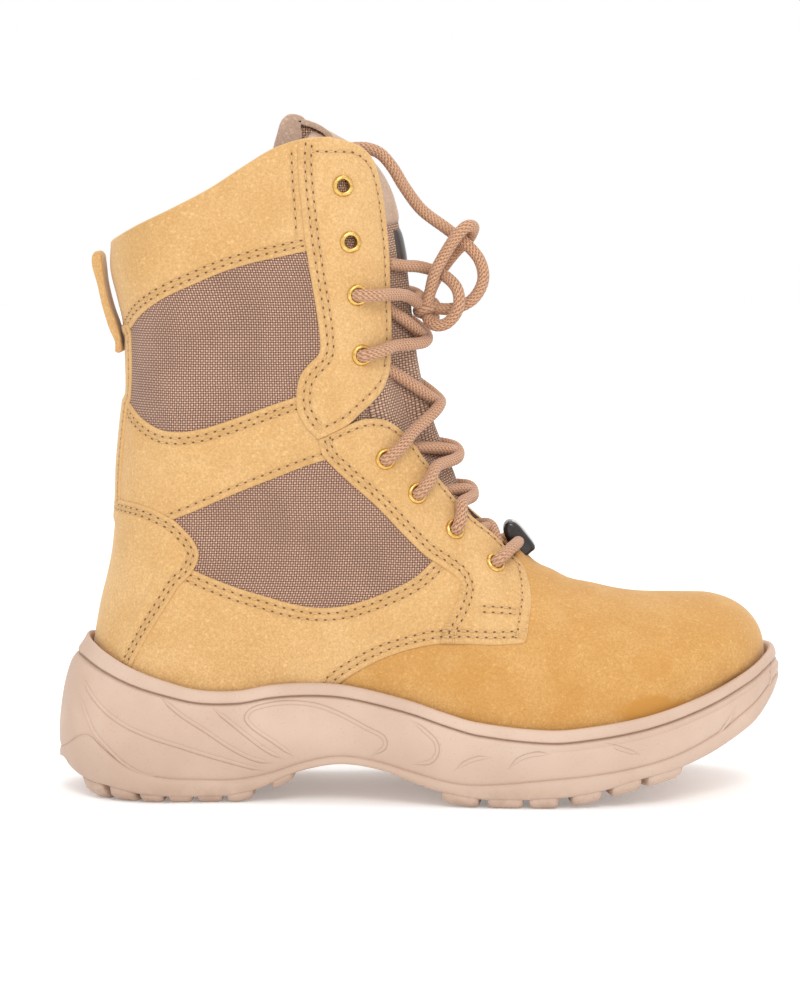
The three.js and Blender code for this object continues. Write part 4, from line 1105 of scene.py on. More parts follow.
def lug(w_from, w_to):
    """One lug along the sole's edge, with rounded edges."""
    soft = 0.16 * (w_to - w_from)
    w = np.r_[w_from, w_from + 0.25 * soft, w_from + soft, np.linspace(w_from + 2 * soft,
              w_to - 2 * soft, 6), w_to - soft, w_to - 0.25 * soft, w_to]
    end = np.minimum(1, np.r_[0, 0.6, 1, np.ones(6), 1, 0.6, 0])
    section = [  # in by, height over the ground, share of the wall's slope
        (0.2, None, 0.0), (0.4, 2.4, 0.4), (1.1, 1.2, 0.75), (2.2, 0.4, 1.0), (3.8, 0, 1.0),
        (17, 0, 1.0), (18, 0.7, 1.0), (18.8, None, 0.0)]
    rows = []
    for in_by, rise, slope in section:
        level = tuple(lerp(a, b, slope) for a, b in zip((13.4, 6.3, 6.2), (8.6, 5.2, 3.2)))
        ring = sole_ring(np.mod(w, 2), (*level, 0, 0), ground_line, ground_line, in_by)
        ground, base = ground_line(ring[:, 0]), base_line(ring[:, 0])
        if rise is None:
            ring[:, 2] = np.maximum(base + 1.5, ground + 3)
        else:
            ring[:, 2] = np.minimum(ground + rise + (1 - end) * 1.1, base + 1)
        rows.append(ring)
    inner = rows[-1] - rows[0]
    inner /= np.linalg.norm(inner, axis=1, keepdims=True)
    rows = [row + inner * ((1 - end) * 0.9)[:, None] * (1 if k < 5 else -1)
            for k, row in enumerate(rows)]
    points = np.stack(rows, 1).reshape(-1, 3)
    columns = len(section)
    faces = [tuple(f) for f in grid_faces(len(w), columns, wrap_columns=True)]
    faces.append(tuple(range(columns)))
    faces.append(tuple((len(w) - 1) * columns + k for k in reversed(range(columns))))
    return points, faces


def middle_lug(x_from, x_to, half):
    """A low bar across the middle of the tread."""
    x = np.array([x_from, x_from + 0.8, x_to - 0.8, x_to])
    rise = np.array([0.8, 0, 0, 0.8])
    rows = []
    for y, up in ((-half, 0.8), (-half + 1, 0), (half - 1, 0), (half, 0.8)):
        rows.append(np.stack([x, swing(x) + y, ground_line(x) + np.maximum(up, rise)], -1))
    low = np.stack(rows, 1)
    high = low.copy()
    high[..., 2] = np.maximum(base_line(low[..., 0].ravel()).reshape(4, 4) + 1.2, low[..., 2] + 1)
    points = np.vstack([low.reshape(-1, 3), high.reshape(-1, 3)])
    faces = [tuple(f) for f in grid_faces(4, 4)]
    faces += [tuple(f[::-1]) for f in grid_faces(4, 4, start=16)]
    rim = [0, 1, 2, 3, 7, 11, 15, 14, 13, 12, 8, 4]
    faces += [(a, b, b + 16, a + 16) for a, b in zip(rim, rim[1:] + rim[:1])]
    return points, faces


def build_outsole(material):
    w = np.linspace(0, 2, 481)[:-1]
    wall = [sole_ring(w, level, tread_line, base_line) for level in OUTSOLE_LEVELS]
    for level, rise in UNDER_LEVELS:
        ring = sole_ring(w, level, base_line, base_line)
        ring[:, 2] = np.minimum(ring[:, 2] + rise, wall[-1][:, 2] - ROW_GAP)
        wall.append(ring)
    top = sole_ring(w, (4, -3, -5, 0, 0), shelf_line, shelf_line)
    points = np.vstack([top, *wall])
    rows = len(wall) + 1
    faces = [tuple(f) for f in grid_faces(rows, len(w), wrap_columns=True)]
    faces += ladder_faces(len(w), 0, True) + ladder_faces(len(w), (rows - 1) * len(w), False)
    parts = [(points, faces)]
    share = np.linspace(0, 1, 400)
    edge = sole_ring(share, (14.8, 6.5, 6.4, 0, 0), rim_line, rim_line)[:, 0]
    edge = np.maximum.accumulate(edge)
    for start, end in LUGS:
        a, b = np.interp((start, end), edge, share)
        parts += [lug(a, b), lug(2 - b, 2 - a)]
    for start, end in LUGS[3:8] + LUGS[9:]:
        parts.append(middle_lug(start + 0.6, end - 0.6, MIDDLE_LUG_HALF))
    points, faces = merged(parts)
    obj = mesh_object("outsole_tread", points, faces, material)
    outward(obj)
    put_values(obj, "groove", np.zeros(len(points)))
    put_values(obj, "floor", points[:, 2])
    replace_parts(obj, "outsole")


# Gap to the upper's inside and height over the feather line, from the insole's underside up.
INSOLE_LEVELS = [(1.6, 0), (1.4, 0.8), (1.4, 3.2), (2.2, 3.9), (4, 4)]


def build_insole(material):
    w = np.linspace(0, 2, 121)[:-1]
    rings = []
    wb = np.stack([w, np.zeros(len(w))], -1)
    for spare, rise in INSOLE_LEVELS:
        ring = last.at(wb) - level_normal(wb) * (WALL + spare)
        rings.append(ring + [0, 0, rise])
    points = np.vstack(rings)
    faces = [tuple(f[::-1]) for f in grid_faces(len(rings), len(w), wrap_columns=True)]
    faces += ladder_faces(len(w), 0, False)
    faces += ladder_faces(len(w), (len(rings) - 1) * len(w), True)
    obj = mesh_object("insole_board", points, faces, material)
    outward(obj)
    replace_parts(obj, "insole")


# ------------------------------------------------------------------ materials
class Shader:
    """Short way to write a node material on one principled shader."""

    def __init__(self, name, **values):
        self.material = bpy.data.materials.new(name)
        self.material.use_nodes = True
        self.tree = self.material.node_tree
        self.shader = self.tree.nodes["Principled BSDF"]
        for socket, value in values.items():
            self.shader.inputs[socket.replace("_", " ")].default_value = value

    def node(self, kind, values=(), output=0, **settings):
        node = self.tree.nodes.new("ShaderNode" + kind)
        for key, value in settings.items():
            setattr(node, key, value)
        for socket, value in dict(values).items():
            self.put(node.inputs[socket], value)
        return node.outputs[output]

    def put(self, socket, value):
        if isinstance(value, bpy.types.NodeSocket):
            self.tree.links.new(value, socket)
        else:
            socket.default_value = value

    def set(self, name, value):
        self.put(self.shader.inputs[name], value)

    def place(self):
        return self.node("TexCoord", output="Object")

    def part(self, axis, vector):
        return self.node("SeparateXYZ", {"Vector": vector}, output=axis)

    def noise(self, scale, detail, roughness):
        return self.node("TexNoise", {"Scale": scale, "Detail": detail, "Roughness": roughness,
                                      "Vector": self.place()})

    def math(self, operation, a, b=0.0):
        return self.node("Math", {0: a, 1: b}, operation=operation)

    def value(self, name):
        return self.node("Attribute", output="Fac", attribute_name=name)

    def range(self, value, low, high, to_low=0.0, to_high=1.0):
        values = {"Value": value, "From Min": low, "From Max": high, "To Min": to_low,
                  "To Max": to_high}
        return self.node("MapRange", values, interpolation_type="SMOOTHSTEP")

    def mix(self, factor, a, b):
        node = self.tree.nodes.new("ShaderNodeMix")
        node.data_type = "RGBA"
        for socket, value in zip((node.inputs[0], node.inputs[6], node.inputs[7]), (factor, a, b)):
            self.put(socket, (*value, 1) if isinstance(value, tuple) else value)
        return node.outputs[2]

    def bump(self, height, distance, strength=1.0, after=None):
        values = {"Height": height, "Distance": distance, "Strength": strength}
        if after is not None:
            values["Normal"] = after
        return self.node("Bump", values)


def stain_mask(s, x, z, wide, high):
    """1 inside a soft uneven patch round a side-view place, 0 outside it."""
    centre = to_frame((x, 0, z))
    away = []
    for axis, middle, reach in (("X", centre[0], wide), ("Z", centre[2], high)):
        at = s.part(axis, s.place())
        away.append(s.math("POWER", s.math("ABSOLUTE", s.math(
            "MULTIPLY", s.math("SUBTRACT", at, float(middle)), 1000 / reach)), 2.0))
    ragged = s.math("MULTIPLY", s.math("SUBTRACT", s.noise(160, 3, 0.6), 0.5), 1.3)
    total = s.math("ADD", s.math("ADD", *away), ragged)
    return s.range(total, 0.5, 1.15, 1.0, 0.0)


def suede_material(name, light, deep, stain, stains=()):
    """Nubuck: cloudy colour, fine nap, paler rubbed edges, and stitch rows made darker with painted
    shade.
    """
    s = Shader(name, Roughness=0.93, Sheen_Weight=0.35, Sheen_Roughness=0.45,
               Specular_IOR_Level=0.15)
    cloud = s.range(s.noise(38, 4, 0.6), 0.38, 0.66)
    colour = s.mix(cloud, deep, light)
    streak = s.range(s.noise(14, 3, 0.5), 0.5, 0.72)
    colour = s.mix(s.math("MULTIPLY", streak, 0.3), colour, stain)
    nap = s.noise(1100, 4, 0.75)
    colour = s.mix(s.range(nap, 0.32, 0.68, 0.0, 0.5), colour, tuple(0.7 * v for v in stain))
    fleck = s.range(s.noise(620, 2, 0.6), 0.56, 0.74, 0.0, 0.6)
    colour = s.mix(fleck, colour, tuple(min(1, 1.12 * v) for v in light))
    edge = s.range(s.value("edge"), 0.0, 0.9, 1.0, 0.0)
    colour = s.mix(s.math("MULTIPLY", edge, 0.55), colour, tuple(0.92 * v for v in light))
    # Painted shade: darker close to the stitch rows, where the thread sinks into its groove.
    seam = s.range(s.value("seam"), 0.15, 1.5, 1.0, 0.0)
    colour = s.mix(s.math("MULTIPLY", seam, 0.13), colour, tuple(0.55 * v for v in stain))
    for *place, strength in stains:
        worn = stain_mask(s, *place)
        colour = s.mix(s.math("MULTIPLY", worn, strength), colour, tuple(0.93 * v for v in stain))
    s.set("Base Color", colour)
    height = s.math("ADD", s.math("MULTIPLY", nap, 0.5), s.noise(420, 3, 0.6))
    s.set("Normal", s.bump(height, 0.00022, 0.55, s.bump(s.noise(110, 3, 0.55), 0.0008, 0.5)))
    s.put(s.shader.inputs["Sheen Tint"], (1.0, 0.86, 0.66, 1))
    return s.material


def weave_material(name, pitch, thread, gap):
    """Coarse plain weave from the piece's own millimetre coordinates, with painted shade between the
    threads.
    """
    s = Shader(name, Roughness=0.85, Sheen_Weight=0.15, Specular_IOR_Level=0.25)
    wobble = s.noise(30, 2, 0.5)
    uv = s.node("UVMap", uv_map="cloth")
    u, v = (s.math("ADD", s.math("MULTIPLY", s.part(axis, uv), math.pi / pitch),
                   s.math("MULTIPLY", wobble, bend)) for axis, bend in (("X", 5.0), ("Y", 4.0)))
    cells = s.math("MULTIPLY", s.math("SINE", u), s.math("SINE", v))
    over = s.math("ABSOLUTE", cells)
    warp = s.math("GREATER_THAN", cells, 0.0)
    dome = s.range(over, 0.02, 0.55)
    cloud = s.range(s.noise(60, 3, 0.6), 0.35, 0.7)
    pale = s.mix(cloud, tuple(0.86 * c for c in thread), thread)
    weft = s.mix(0.42, pale, gap)
    colour = s.mix(warp, weft, pale)
    # Painted shade: where a thread's dome falls away, the colour goes to the dark gap colour between
    # the threads.
    colour = s.mix(dome, gap, colour)
    fibre = s.noise(2600, 2, 0.7)
    colour = s.mix(s.range(fibre, 0.35, 0.7, 0.0, 0.25), colour, gap)
    s.set("Base Color", colour)
    height = s.math("MULTIPLY", dome, s.math("ADD", 0.6, s.math("MULTIPLY", warp, 0.4)))
    s.set("Normal", s.bump(height, 0.0005, 0.9))
    return s.material


def rubber_material(name, light, deep, dirt_and_shade):
    """Worn rubber with fine specks and scuffs of dirt near the ground; painted shade darkens the
    grooves and the wall towards the ground.
    """
    s = Shader(name, Roughness=0.62, Specular_IOR_Level=0.35)
    cloud = s.range(s.noise(24, 3, 0.5), 0.35, 0.7)
    colour = s.mix(cloud, deep, light)
    speck = s.range(s.noise(1300, 2, 0.6), 0.6, 0.75, 0.0, 0.3)
    colour = s.mix(speck, colour, dirt_and_shade)
    # Painted shade in the grooves and at the feet of the raised lines.
    hollow = s.range(s.value("groove"), 0.1, 1.0)
    colour = s.mix(s.math("MULTIPLY", hollow, 0.68), colour, dirt_and_shade)
    # Painted shade: the wall darker towards the ground.
    under = s.range(s.value("floor"), 12.0, 36.0, 0.26, 0.0)
    colour = s.mix(under, colour, tuple(0.72 * v for v in deep))
    low = s.range(s.value("floor"), 0.0, 12.0, 0.35, 0.0)
    scuff = s.math("MULTIPLY", low, s.range(s.noise(120, 4, 0.65), 0.35, 0.65))
    s.set("Base Color", s.mix(scuff, colour, dirt_and_shade))
    s.set("Normal", s.bump(s.noise(900, 3, 0.6), 0.00012, 0.5))
    s.set("Roughness", s.range(s.noise(90, 3, 0.6), 0.3, 0.7, 0.52, 0.7))
    return s.material


def braid_material(name, light, deep):
    """Round braid; the strands are in the mesh and their yarns are here, with painted shade between the
    strands.
    """
    s = Shader(name, Roughness=0.85, Sheen_Weight=0.2, Specular_IOR_Level=0.2)
    # Painted shade: light on the strands' crowns, dark in the hollows between them.
    lift = s.range(s.value("strand"), -0.1, 0.9)
    colour = s.mix(lift, deep, light)
    cloud = s.range(s.noise(70, 2, 0.5), 0.4, 0.66, 0.0, 0.3)
    colour = s.mix(cloud, colour, tuple(0.8 * v for v in light))
    yarn = s.noise(2400, 2, 0.7)
    colour = s.mix(s.range(yarn, 0.4, 0.7, 0.0, 0.3), colour, deep)
    s.set("Base Color", colour)
    s.set("Normal", s.bump(yarn, 0.0002, 0.6))
    return s.material


def plain_cloth(name, light, deep):
    s = Shader(name, Roughness=0.9, Sheen_Weight=0.1, Specular_IOR_Level=0.2)
    grain = s.noise(1100, 3, 0.7)
    s.set("Base Color", s.mix(s.range(grain, 0.3, 0.7), deep, light))
    s.set("Normal", s.bump(grain, 0.0004, 0.6))
    return s.material


def brass_material():
    s = Shader("brass", Metallic=1.0, Specular_IOR_Level=0.5)
    worn = s.range(s.noise(500, 4, 0.65), 0.35, 0.7)
    s.set("Base Color", s.mix(worn, (0.62, 0.36, 0.09), (0.84, 0.58, 0.2)))
    s.set("Roughness", s.range(s.noise(900, 3, 0.6), 0.3, 0.7, 0.2, 0.42))
    s.set("Normal", s.bump(s.noise(700, 3, 0.5), 0.0001, 0.3))
    return s.material


def plastic_material():
    s = Shader("keeper_plastic", Specular_IOR_Level=0.5)
    s.set("Base Color", s.mix(s.noise(300, 3, 0.5), (0.008, 0.006, 0.006), (0.03, 0.024, 0.022)))
    s.set("Roughness", s.range(s.noise(800, 3, 0.6), 0.3, 0.7, 0.12, 0.35))
    s.set("Normal", s.bump(s.noise(350, 2, 0.5), 0.0002, 0.25))
    return s.material


def plain_material(name, colour, roughness, scale=700.0):
    s = Shader(name, Roughness=roughness)
    s.set("Base Color", s.mix(s.noise(scale, 3, 0.6), tuple(0.75 * v for v in colour), colour))
    return s.material


# ------------------------------------------------------------------ tongue
# x, z, half-width, half-width of the throat there, as in the CAD.
TONGUE = np.array([
    (195, 86, 22, 6), (185.5, 97, 25, 8), (177.6, 107.6, 27, 11), (170.5, 120, 28, 14),
    (165.4, 134, 30, 17), (159, 149.5, 31, 19), (153.6, 166, 32, 24), (150.2, 182, 32, 25),
    (148, 200, 32, 25), (145.8, 220, 32, 25), (142.6, 236, 32, 24), (138.4, 251, 30, 22),
    (132, 261.5, 28, 22), (124.5, 268, 26, 22), (116, 273, 24, 22), (107, 278, 21, 22)])
TONGUE_THICKNESS, TONGUE_CLEARANCE, TONGUE_CROWN = 5, 1.4, 8
TONGUE_HALF = 31  # half-width that the cloth's weave is laid out for
DEEPEST_TUCK, TUCK_STEP = 40, 0.25
TONGUE_PIECES, TONGUE_STEP = 40, 3  # points of the line for each row, points either side of one
tongue_dense = centripetal(TONGUE[:, :2], TONGUE_PIECES)


def on_tongue_line(at):
    index = np.arange(len(tongue_dense))
    return np.array([np.interp(at, index, tongue_dense[:, k]) for k in (0, 1)])


def tongue_row(share):
    """Place, half-width, throat and inward direction at a share of the tongue's rows."""
    row = share * (len(TONGUE) - 1)
    at = row * TONGUE_PIECES
    place = on_tongue_line(at)
    step = on_tongue_line(at + TONGUE_STEP) - on_tongue_line(at - TONGUE_STEP)
    step /= np.linalg.norm(step)
    half, gap = (np.interp(row, np.arange(len(TONGUE)), TONGUE[:, k]) for k in (2, 3))
    return place, half, gap, np.array([-step[1], step[0]])


def tuck_depth(place, inward, y):
    """How far behind its front line a tongue point lies to clear the facings."""
    room = WALL + TONGUE_CLEARANCE
    side = LATERAL if y < 0 else MEDIAL
    depths = np.arange(0, DEEPEST_TUCK, TUCK_STEP)
    near = half_width(side, place[0] + inward[0] * (depths - room),
                      place[1] + inward[1] * (depths - room)) >= abs(y)
    deep = half_width(side, place[0] + inward[0] * depths,
                      place[1] + inward[1] * depths) >= abs(y) + room
    good = np.flatnonzero(near & deep)
    return depths[good[0]] if len(good) else DEEPEST_TUCK


def tongue_point(share, y, out=0.0):
    """Point of the tongue's face at a height over it, tucked under the facings at the sides."""
    place, half, gap, inward = tongue_row(share)
    tucked = smoothstep(abs(y), gap * 0.3, gap - 6)
    crown = TONGUE_CROWN * (y / half) ** 2
    depth = max(crown, lerp(crown, tuck_depth(place, inward, y), tucked)) - out
    return np.array([place[0] + inward[0] * depth, swing(place[0]) + y,
                     place[1] + inward[1] * depth])


class Tongue:
    """Grid of the tongue's face: rows along it and columns over shares of its half-width."""

    def __init__(self):
        shares_along, columns = np.linspace(0, 1, 31), np.linspace(-1, 1, 21)
        rows = [[tongue_point(s, c * tongue_row(s)[1]) for c in columns] for s in shares_along]
        grid = centripetal(rows, 4)
        self.grid = centripetal(grid.transpose(1, 0, 2), 2).transpose(1, 0, 2)
        along_rows = np.gradient(self.grid, axis=0)
        across = np.gradient(self.grid, axis=1)
        normal = np.cross(across, along_rows)
        normal /= np.linalg.norm(normal, axis=-1, keepdims=True)
        self.normals = normal * np.sign(normal[60, 20, 0])
        self.reach = lengths(self.grid[:, 20])

    def read(self, grid, share, column):
        i = np.clip(share, 0, 1) * (grid.shape[0] - 1)
        j = (np.clip(column, -1, 1) + 1) / 2 * (grid.shape[1] - 1)
        return bilinear(grid, i, j)

    def at(self, share, column, out):
        n = self.read(self.normals, share, column)
        n /= np.linalg.norm(n, axis=-1, keepdims=True)
        return self.read(self.grid, share, column) + n * np.asarray(out)[..., None]

    def plate(self, share_range, column_range, face_out, back_out, rows, columns, soft=0.8):
        """Slab over part of the tongue with a rounded border; back_out is a function of the column."""
        s = np.linspace(*share_range, rows)
        c = np.linspace(*column_range, columns)
        s, c = np.meshgrid(s, c, indexing="ij")
        i, j = np.meshgrid(np.arange(rows), np.arange(columns), indexing="ij")
        border = np.minimum(np.minimum(i, rows - 1 - i), np.minimum(j, columns - 1 - j))
        fall = np.where(border == 0, 1, np.where(border == 1, 0.25, 0)) * soft
        face = self.at(s, c, face_out - fall)
        back = self.at(s, c, back_out(c) + np.minimum(fall * 0.4, 0.3))
        n = rows * columns
        faces = [tuple(f) for f in grid_faces(rows, columns)]
        faces += [tuple(f[::-1]) for f in grid_faces(rows, columns, start=n)]
        rim = [*range(columns), *[k * columns + columns - 1 for k in range(1, rows)],
               *range(n - 2, n - columns - 1, -1), *[k * columns for k in range(rows - 2, 0, -1)]]
        faces += [(a, a + n, b + n, b) for a, b in zip(rim, rim[1:] + rim[:1])]
        length = np.interp(s, np.linspace(0, 1, len(self.reach)), self.reach)
        uv = np.stack([c * TONGUE_HALF, length], -1).reshape(-1, 2)
        return np.vstack([face.reshape(-1, 3), back.reshape(-1, 3)]), faces, np.vstack([uv, uv])


def build_tongue(cloth, suede, gloss):
    points, faces, uv = tongue.plate((0, 1), (-1, 1), 0.0,
                                     lambda c: -TONGUE_THICKNESS * (1 - 0.5 * c ** 2), 121, 41)
    obj = mesh_object("tongue_body", points, faces, cloth)
    outward(obj)
    put_uv(obj, uv)
    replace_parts(obj, "tongue")
    points, faces, _ = tongue.plate((0.675, 0.992), (-0.97, 0.97), 1.0, lambda c: -0.5, 44, 40)
    obj = mesh_object("tongue_top", points, faces, suede)
    outward(obj)
    far_from_seams(obj)
    points, faces, _ = tongue.plate((0.60, 0.662), (-0.42, 0.42), 0.7, lambda c: -0.6, 8, 12, 0.5)
    obj = mesh_object("tongue_patch", points, faces, gloss)
    outward(obj)


# ------------------------------------------------------------------ loop, tab and keeper
TONGUE_LOOP = [(103.6, 280.2), (101.3, 281.6), (97.4, 281.8), (94.5, 279.4), (92.6, 274),
               (91.2, 266), (96, 265.4), (102.6, 265.8), (103, 270), (102.8, 273.6),
               (102.4, 277)]
TONGUE_LOOP_WIDTH = 34
LOOP_STRIP = [(100.4, 279.2), (103.5, 279.7), (108.6, 278.2), (112.2, 276.2), (115.4, 272.9),
              (114.4, 271.4), (110.8, 274.4), (106.6, 276.4), (102.6, 277.6)]
LOOP_CORE = [(101, 266), (101.4, 272), (101.8, 276), (103.4, 277.4), (107, 276), (111.4, 273.4),
             (114.4, 270.4), (110, 266)]
PULL_TAB = [(24.9, 184), (24.7, 188), (22.3, 193.8), (19.8, 202), (17.6, 212), (15.4, 220.6),
            (15.8, 224.4), (17.4, 225.8), (19.2, 224.4), (19.8, 221), (20.7, 213),
            (22.8, 203.6), (25.6, 195.5), (27, 190), (27.2, 184)]
PULL_TAB_WIDTH = 20
KEEPER = [(186.9, 108.4), (187, 110.9), (188.5, 112.6), (191.3, 112), (195.4, 107.6),
          (199.4, 101.6), (198, 100.2), (194.6, 97.9), (192.2, 98.9), (188.4, 104.9),
          (187.4, 106.6)]
KEEPER_WIDTH = 13
# Outline of a pale plate on the black keeper: a painted highlight.
KEEPER_HIGHLIGHT_PLATE = [(189.8, 112.9), (191.8, 112.6), (196.2, 107.9), (199.8, 102.2), (199, 101.4),
                (195.2, 106.8), (191, 111.4), (189.6, 112.1)]
KEEPER_HOLE = (192.8, 104.4)
SLAB_ROWS = 14  # rows of points across a slab between its rounded sides
CLOSED_PIECES = 12


def closed_curve(points, step):
    """Dense points round a closed side-view outline."""
    wrapped = np.array([*points[-2:], *points, *points[:2]], float)
    dense = centripetal(wrapped, CLOSED_PIECES)
    return spaced(dense[2 * CLOSED_PIECES:(len(points) + 2) * CLOSED_PIECES], step)[:-1]


def slab(outline, width, soft, step, bulge=0.0):
    """Outline with a thickness across the boot and rounded sides."""
    outline = closed_curve(outline, step)
    tangent = np.roll(outline, -1, 0) - np.roll(outline, 1, 0)
    inward = np.stack([-tangent[:, 1], tangent[:, 0]], -1)
    inward /= np.linalg.norm(inward, axis=1, keepdims=True)
    after = np.roll(outline, -1, 0)
    inward *= np.sign((outline[:, 0] * after[:, 1] - after[:, 0] * outline[:, 1]).sum())
    half = width / 2
    sides = [(half, soft), (half - 0.15 * soft, 0.5 * soft), (half - 0.5 * soft, 0.14 * soft),
             (half - soft, 0)]
    inner = [(y, 0) for y in np.linspace(half - soft, -(half - soft), SLAB_ROWS)[1:-1]]
    rows = []
    for y, inset_by in [*sides, *inner, *[(-y, g) for y, g in reversed(sides)]]:
        lift = bulge * (1 - (y / half) ** 2)
        flat = outline + inward * (inset_by - lift)
        rows.append(np.stack([flat[:, 0], np.full(len(flat), y), flat[:, 1]], -1))
    columns = len(outline)
    faces = [tuple(f) for f in grid_faces(len(rows), columns, wrap_columns=True)]
    faces.append(tuple(range(columns)))
    faces.append(tuple((len(rows) - 1) * columns + k for k in reversed(range(columns))))
    return np.vstack(rows), faces


def slab_object(name, material, slot, *shape, **more):
    points, faces = slab(*shape, **more)
    obj = mesh_object(name, points, faces, material)
    outward(obj)
    return obj, points


GUSSET = [(185, 95), (170, 103), (150, 119), (128, 140), (119, 158), (113, 180), (112, 205),
          (110, 232), (106, 262), (113, 268.5), (128, 264.5), (133.6, 250), (136.6, 226),
          (137, 200), (136.4, 178), (130, 163), (133, 153), (142, 150), (155, 132), (172, 114),
          (184, 103)]
GUSSET_OUT = -2.5  # height of its outer face over the last


def build_gussets(material):
    """Cloth between the tongue and the facings, seen through the empty eyelets."""
    for side, word in WORDS.items():
        outline = side_curve(side, [*GUSSET, GUSSET[0]], smooth=False)[:-1]
        panel = Panel(f"tongue_gusset_{word}", facing_sign(side, outline), thickness=0.6)
        build_sheet(panel, GUSSET_OUT, GUSSET_OUT - 0.7, [material])


def build_small_parts(suede, pale, cloth, plastic, keeper_highlight):
    obj, _ = slab_object("tongue_pull", pale, "pale_suede", TONGUE_LOOP, TONGUE_LOOP_WIDTH, 0.7, 0.7)
    far_from_seams(obj)
    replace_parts(obj, "tongue_loop")
    obj, _ = slab_object("tongue_strip", pale, "pale_suede", LOOP_STRIP, TONGUE_LOOP_WIDTH, 0.5, 0.7)
    far_from_seams(obj)
    obj, points = slab_object("tongue_core", cloth, "fabric", LOOP_CORE, TONGUE_LOOP_WIDTH - 4,
                              0.8, 0.8)
    put_uv(obj, points[:, [0, 2]])
    obj, _ = slab_object("heel_tab", suede, "suede", PULL_TAB, PULL_TAB_WIDTH, 0.7, 0.7)
    far_from_seams(obj)
    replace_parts(obj, "pull_tab")
    obj, _ = slab_object("keeper_body", plastic, "keeper", KEEPER, KEEPER_WIDTH, 1.6, 0.6, bulge=0.5)
    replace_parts(obj, "lace_keeper")
    # A painted highlight: a pale plate on the glossy black keeper.
    slab_object("keeper_highlight_plate", keeper_highlight, "keeper", KEEPER_HIGHLIGHT_PLATE, KEEPER_WIDTH - 5, 0.4, 0.5)


EYELETS = np.array([(182.4, 97.8), (165.7, 111.8), (150.4, 127), (137.3, 141.4), (127.5, 184),
                    (125.9, 208.4), (123.1, 229.9), (120, 252.5)])
EYELET_PROFILE = [  # radius, height over the facing
    (2.55, -2.2), (2.5, -0.6), (2.5, 0.3), (2.62, 0.75), (2.95, 1.05), (3.4, 1.08), (3.9, 0.86),
    (4.25, 0.5), (4.4, 0.1), (4.3, -0.2), (3.6, -0.3), (3.05, -0.5), (3.0, -2.2)]
EYELET_SIDES = 32


def stand(side, xz):
    """Place, normal and two directions along the last at a side-view point."""
    wb = shares(side, [xz])
    place, normal = last.at(wb)[0], last.normal(wb)[0]
    across = np.cross([0, 0, 1], normal)
    across /= np.linalg.norm(across)
    return wb, place, normal, across, np.cross(normal, across)


def build_eyelets(material, facings):
    parts = []
    turn = np.linspace(0, 2 * math.pi, EYELET_SIDES, endpoint=False)
    for side in (LATERAL, MEDIAL):
        for index, xz in enumerate(EYELETS):
            wb, place, normal, across, up = stand(side, xz)
            height = facings[side][index // 4].height(wb)[0]
            ring = np.cos(turn)[:, None] * across + np.sin(turn)[:, None] * up
            rows = [place + normal * (height + h) + r * ring for r, h in EYELET_PROFILE]
            faces = grid_faces(len(rows), EYELET_SIDES, wrap_rows=True, wrap_columns=True)
            parts.append((np.vstack(rows), faces))
    points, faces = merged(parts)
    obj = mesh_object("eyelets", points, faces, material)
    outward(obj)
    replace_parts(obj, *[f"eyelet_{word}_{k + 1}" for word in WORDS.values() for k in range(8)])


# ------------------------------------------------------------------ laces
LACE = 5.0  # diameter
EYELET_TOP = LACE / 2 + 3.1  # height over the last of a strand that lies on an eyelet
CURVE_STEP, LACE_STEP, LACE_SIDES = 0.5, 0.6, 32
BRAID_PITCH, BRAID_STRANDS = 15.0, 8
BRAID_CORE, BRAID_RISE = 2.4, 0.14


def braid(reach, angle):
    """Radius of the round braid: strands that wind both ways over each other."""
    turn = 2 * math.pi * reach / BRAID_PITCH
    one, other = np.cos(BRAID_STRANDS * (angle + turn)), np.cos(BRAID_STRANDS * (angle - turn))
    return BRAID_CORE + BRAID_RISE * np.maximum(one, other)


def build_lace(name, path, material):
    points, faces, pairs = tube(path, braid, LACE_SIDES, LACE_STEP)
    obj = mesh_object(name, points, faces, material)
    put_values(obj, "strand", (braid(*pairs.T) - BRAID_CORE) / BRAID_RISE)
    return obj


def over_face(side, xz, out):
    _, place, normal, _, _ = stand(side, xz)
    return place + normal * out


LACE_END = [
    (156.6, -8.2, 202.4), (162.2, -10, 201.8), (167.6, -11.6, 202.8), (173.6, -12, 206.5),
    (177.4, -11, 213.9), (176.1, -9, 221.7), (170.4, -8, 228.7), (162.5, -7, 234.9),
    (152.1, -8, 242.7), (144.8, -13, 252.2), (139.6, -17.5, 260.6), (134.8, -18.8, 265.8),
    (129.8, -20.5, 267.8), (125.2, -21.5, 268), (121.4, -21.5, 267.6)]
LACE_BOW_LOOP = [
    (154.2, -12, 203.8), (155.4, -13.5, 208.8), (157.4, -15, 216.9), (162, -14.5, 225.5),
    (166.6, -14.2, 232.4), (170.4, -12.5, 236), (173.4, -7.6, 235.6), (171.4, -2, 230.6),
    (166.4, -0.6, 225.6), (161.6, -0.8, 219.6), (157.8, -1.4, 213.6), (155.6, -2.8, 208.8),
    (154.4, -5.2, 204.4)]
LACE_SMALL_LOOP = [
    (154, -8.4, 200), (155.4, -11.8, 196.6), (158.2, -14.4, 195.2), (162.6, -16, 196.4),
    (167, -17.8, 202.6), (166.8, -16, 209.6), (162.6, -11.4, 214.8), (156.6, -8.2, 217.8),
    (150.6, -10.6, 219.4), (145.4, -14.6, 219.8), (141.2, -18.4, 220.4), (138.2, -21.6, 220.8)]
KNOT_START, KNOT_RADIUS, KNOT_TURNS, KNOT_RISE = (153.9, -8.5, 198.2), 3.2, 1.6, 9
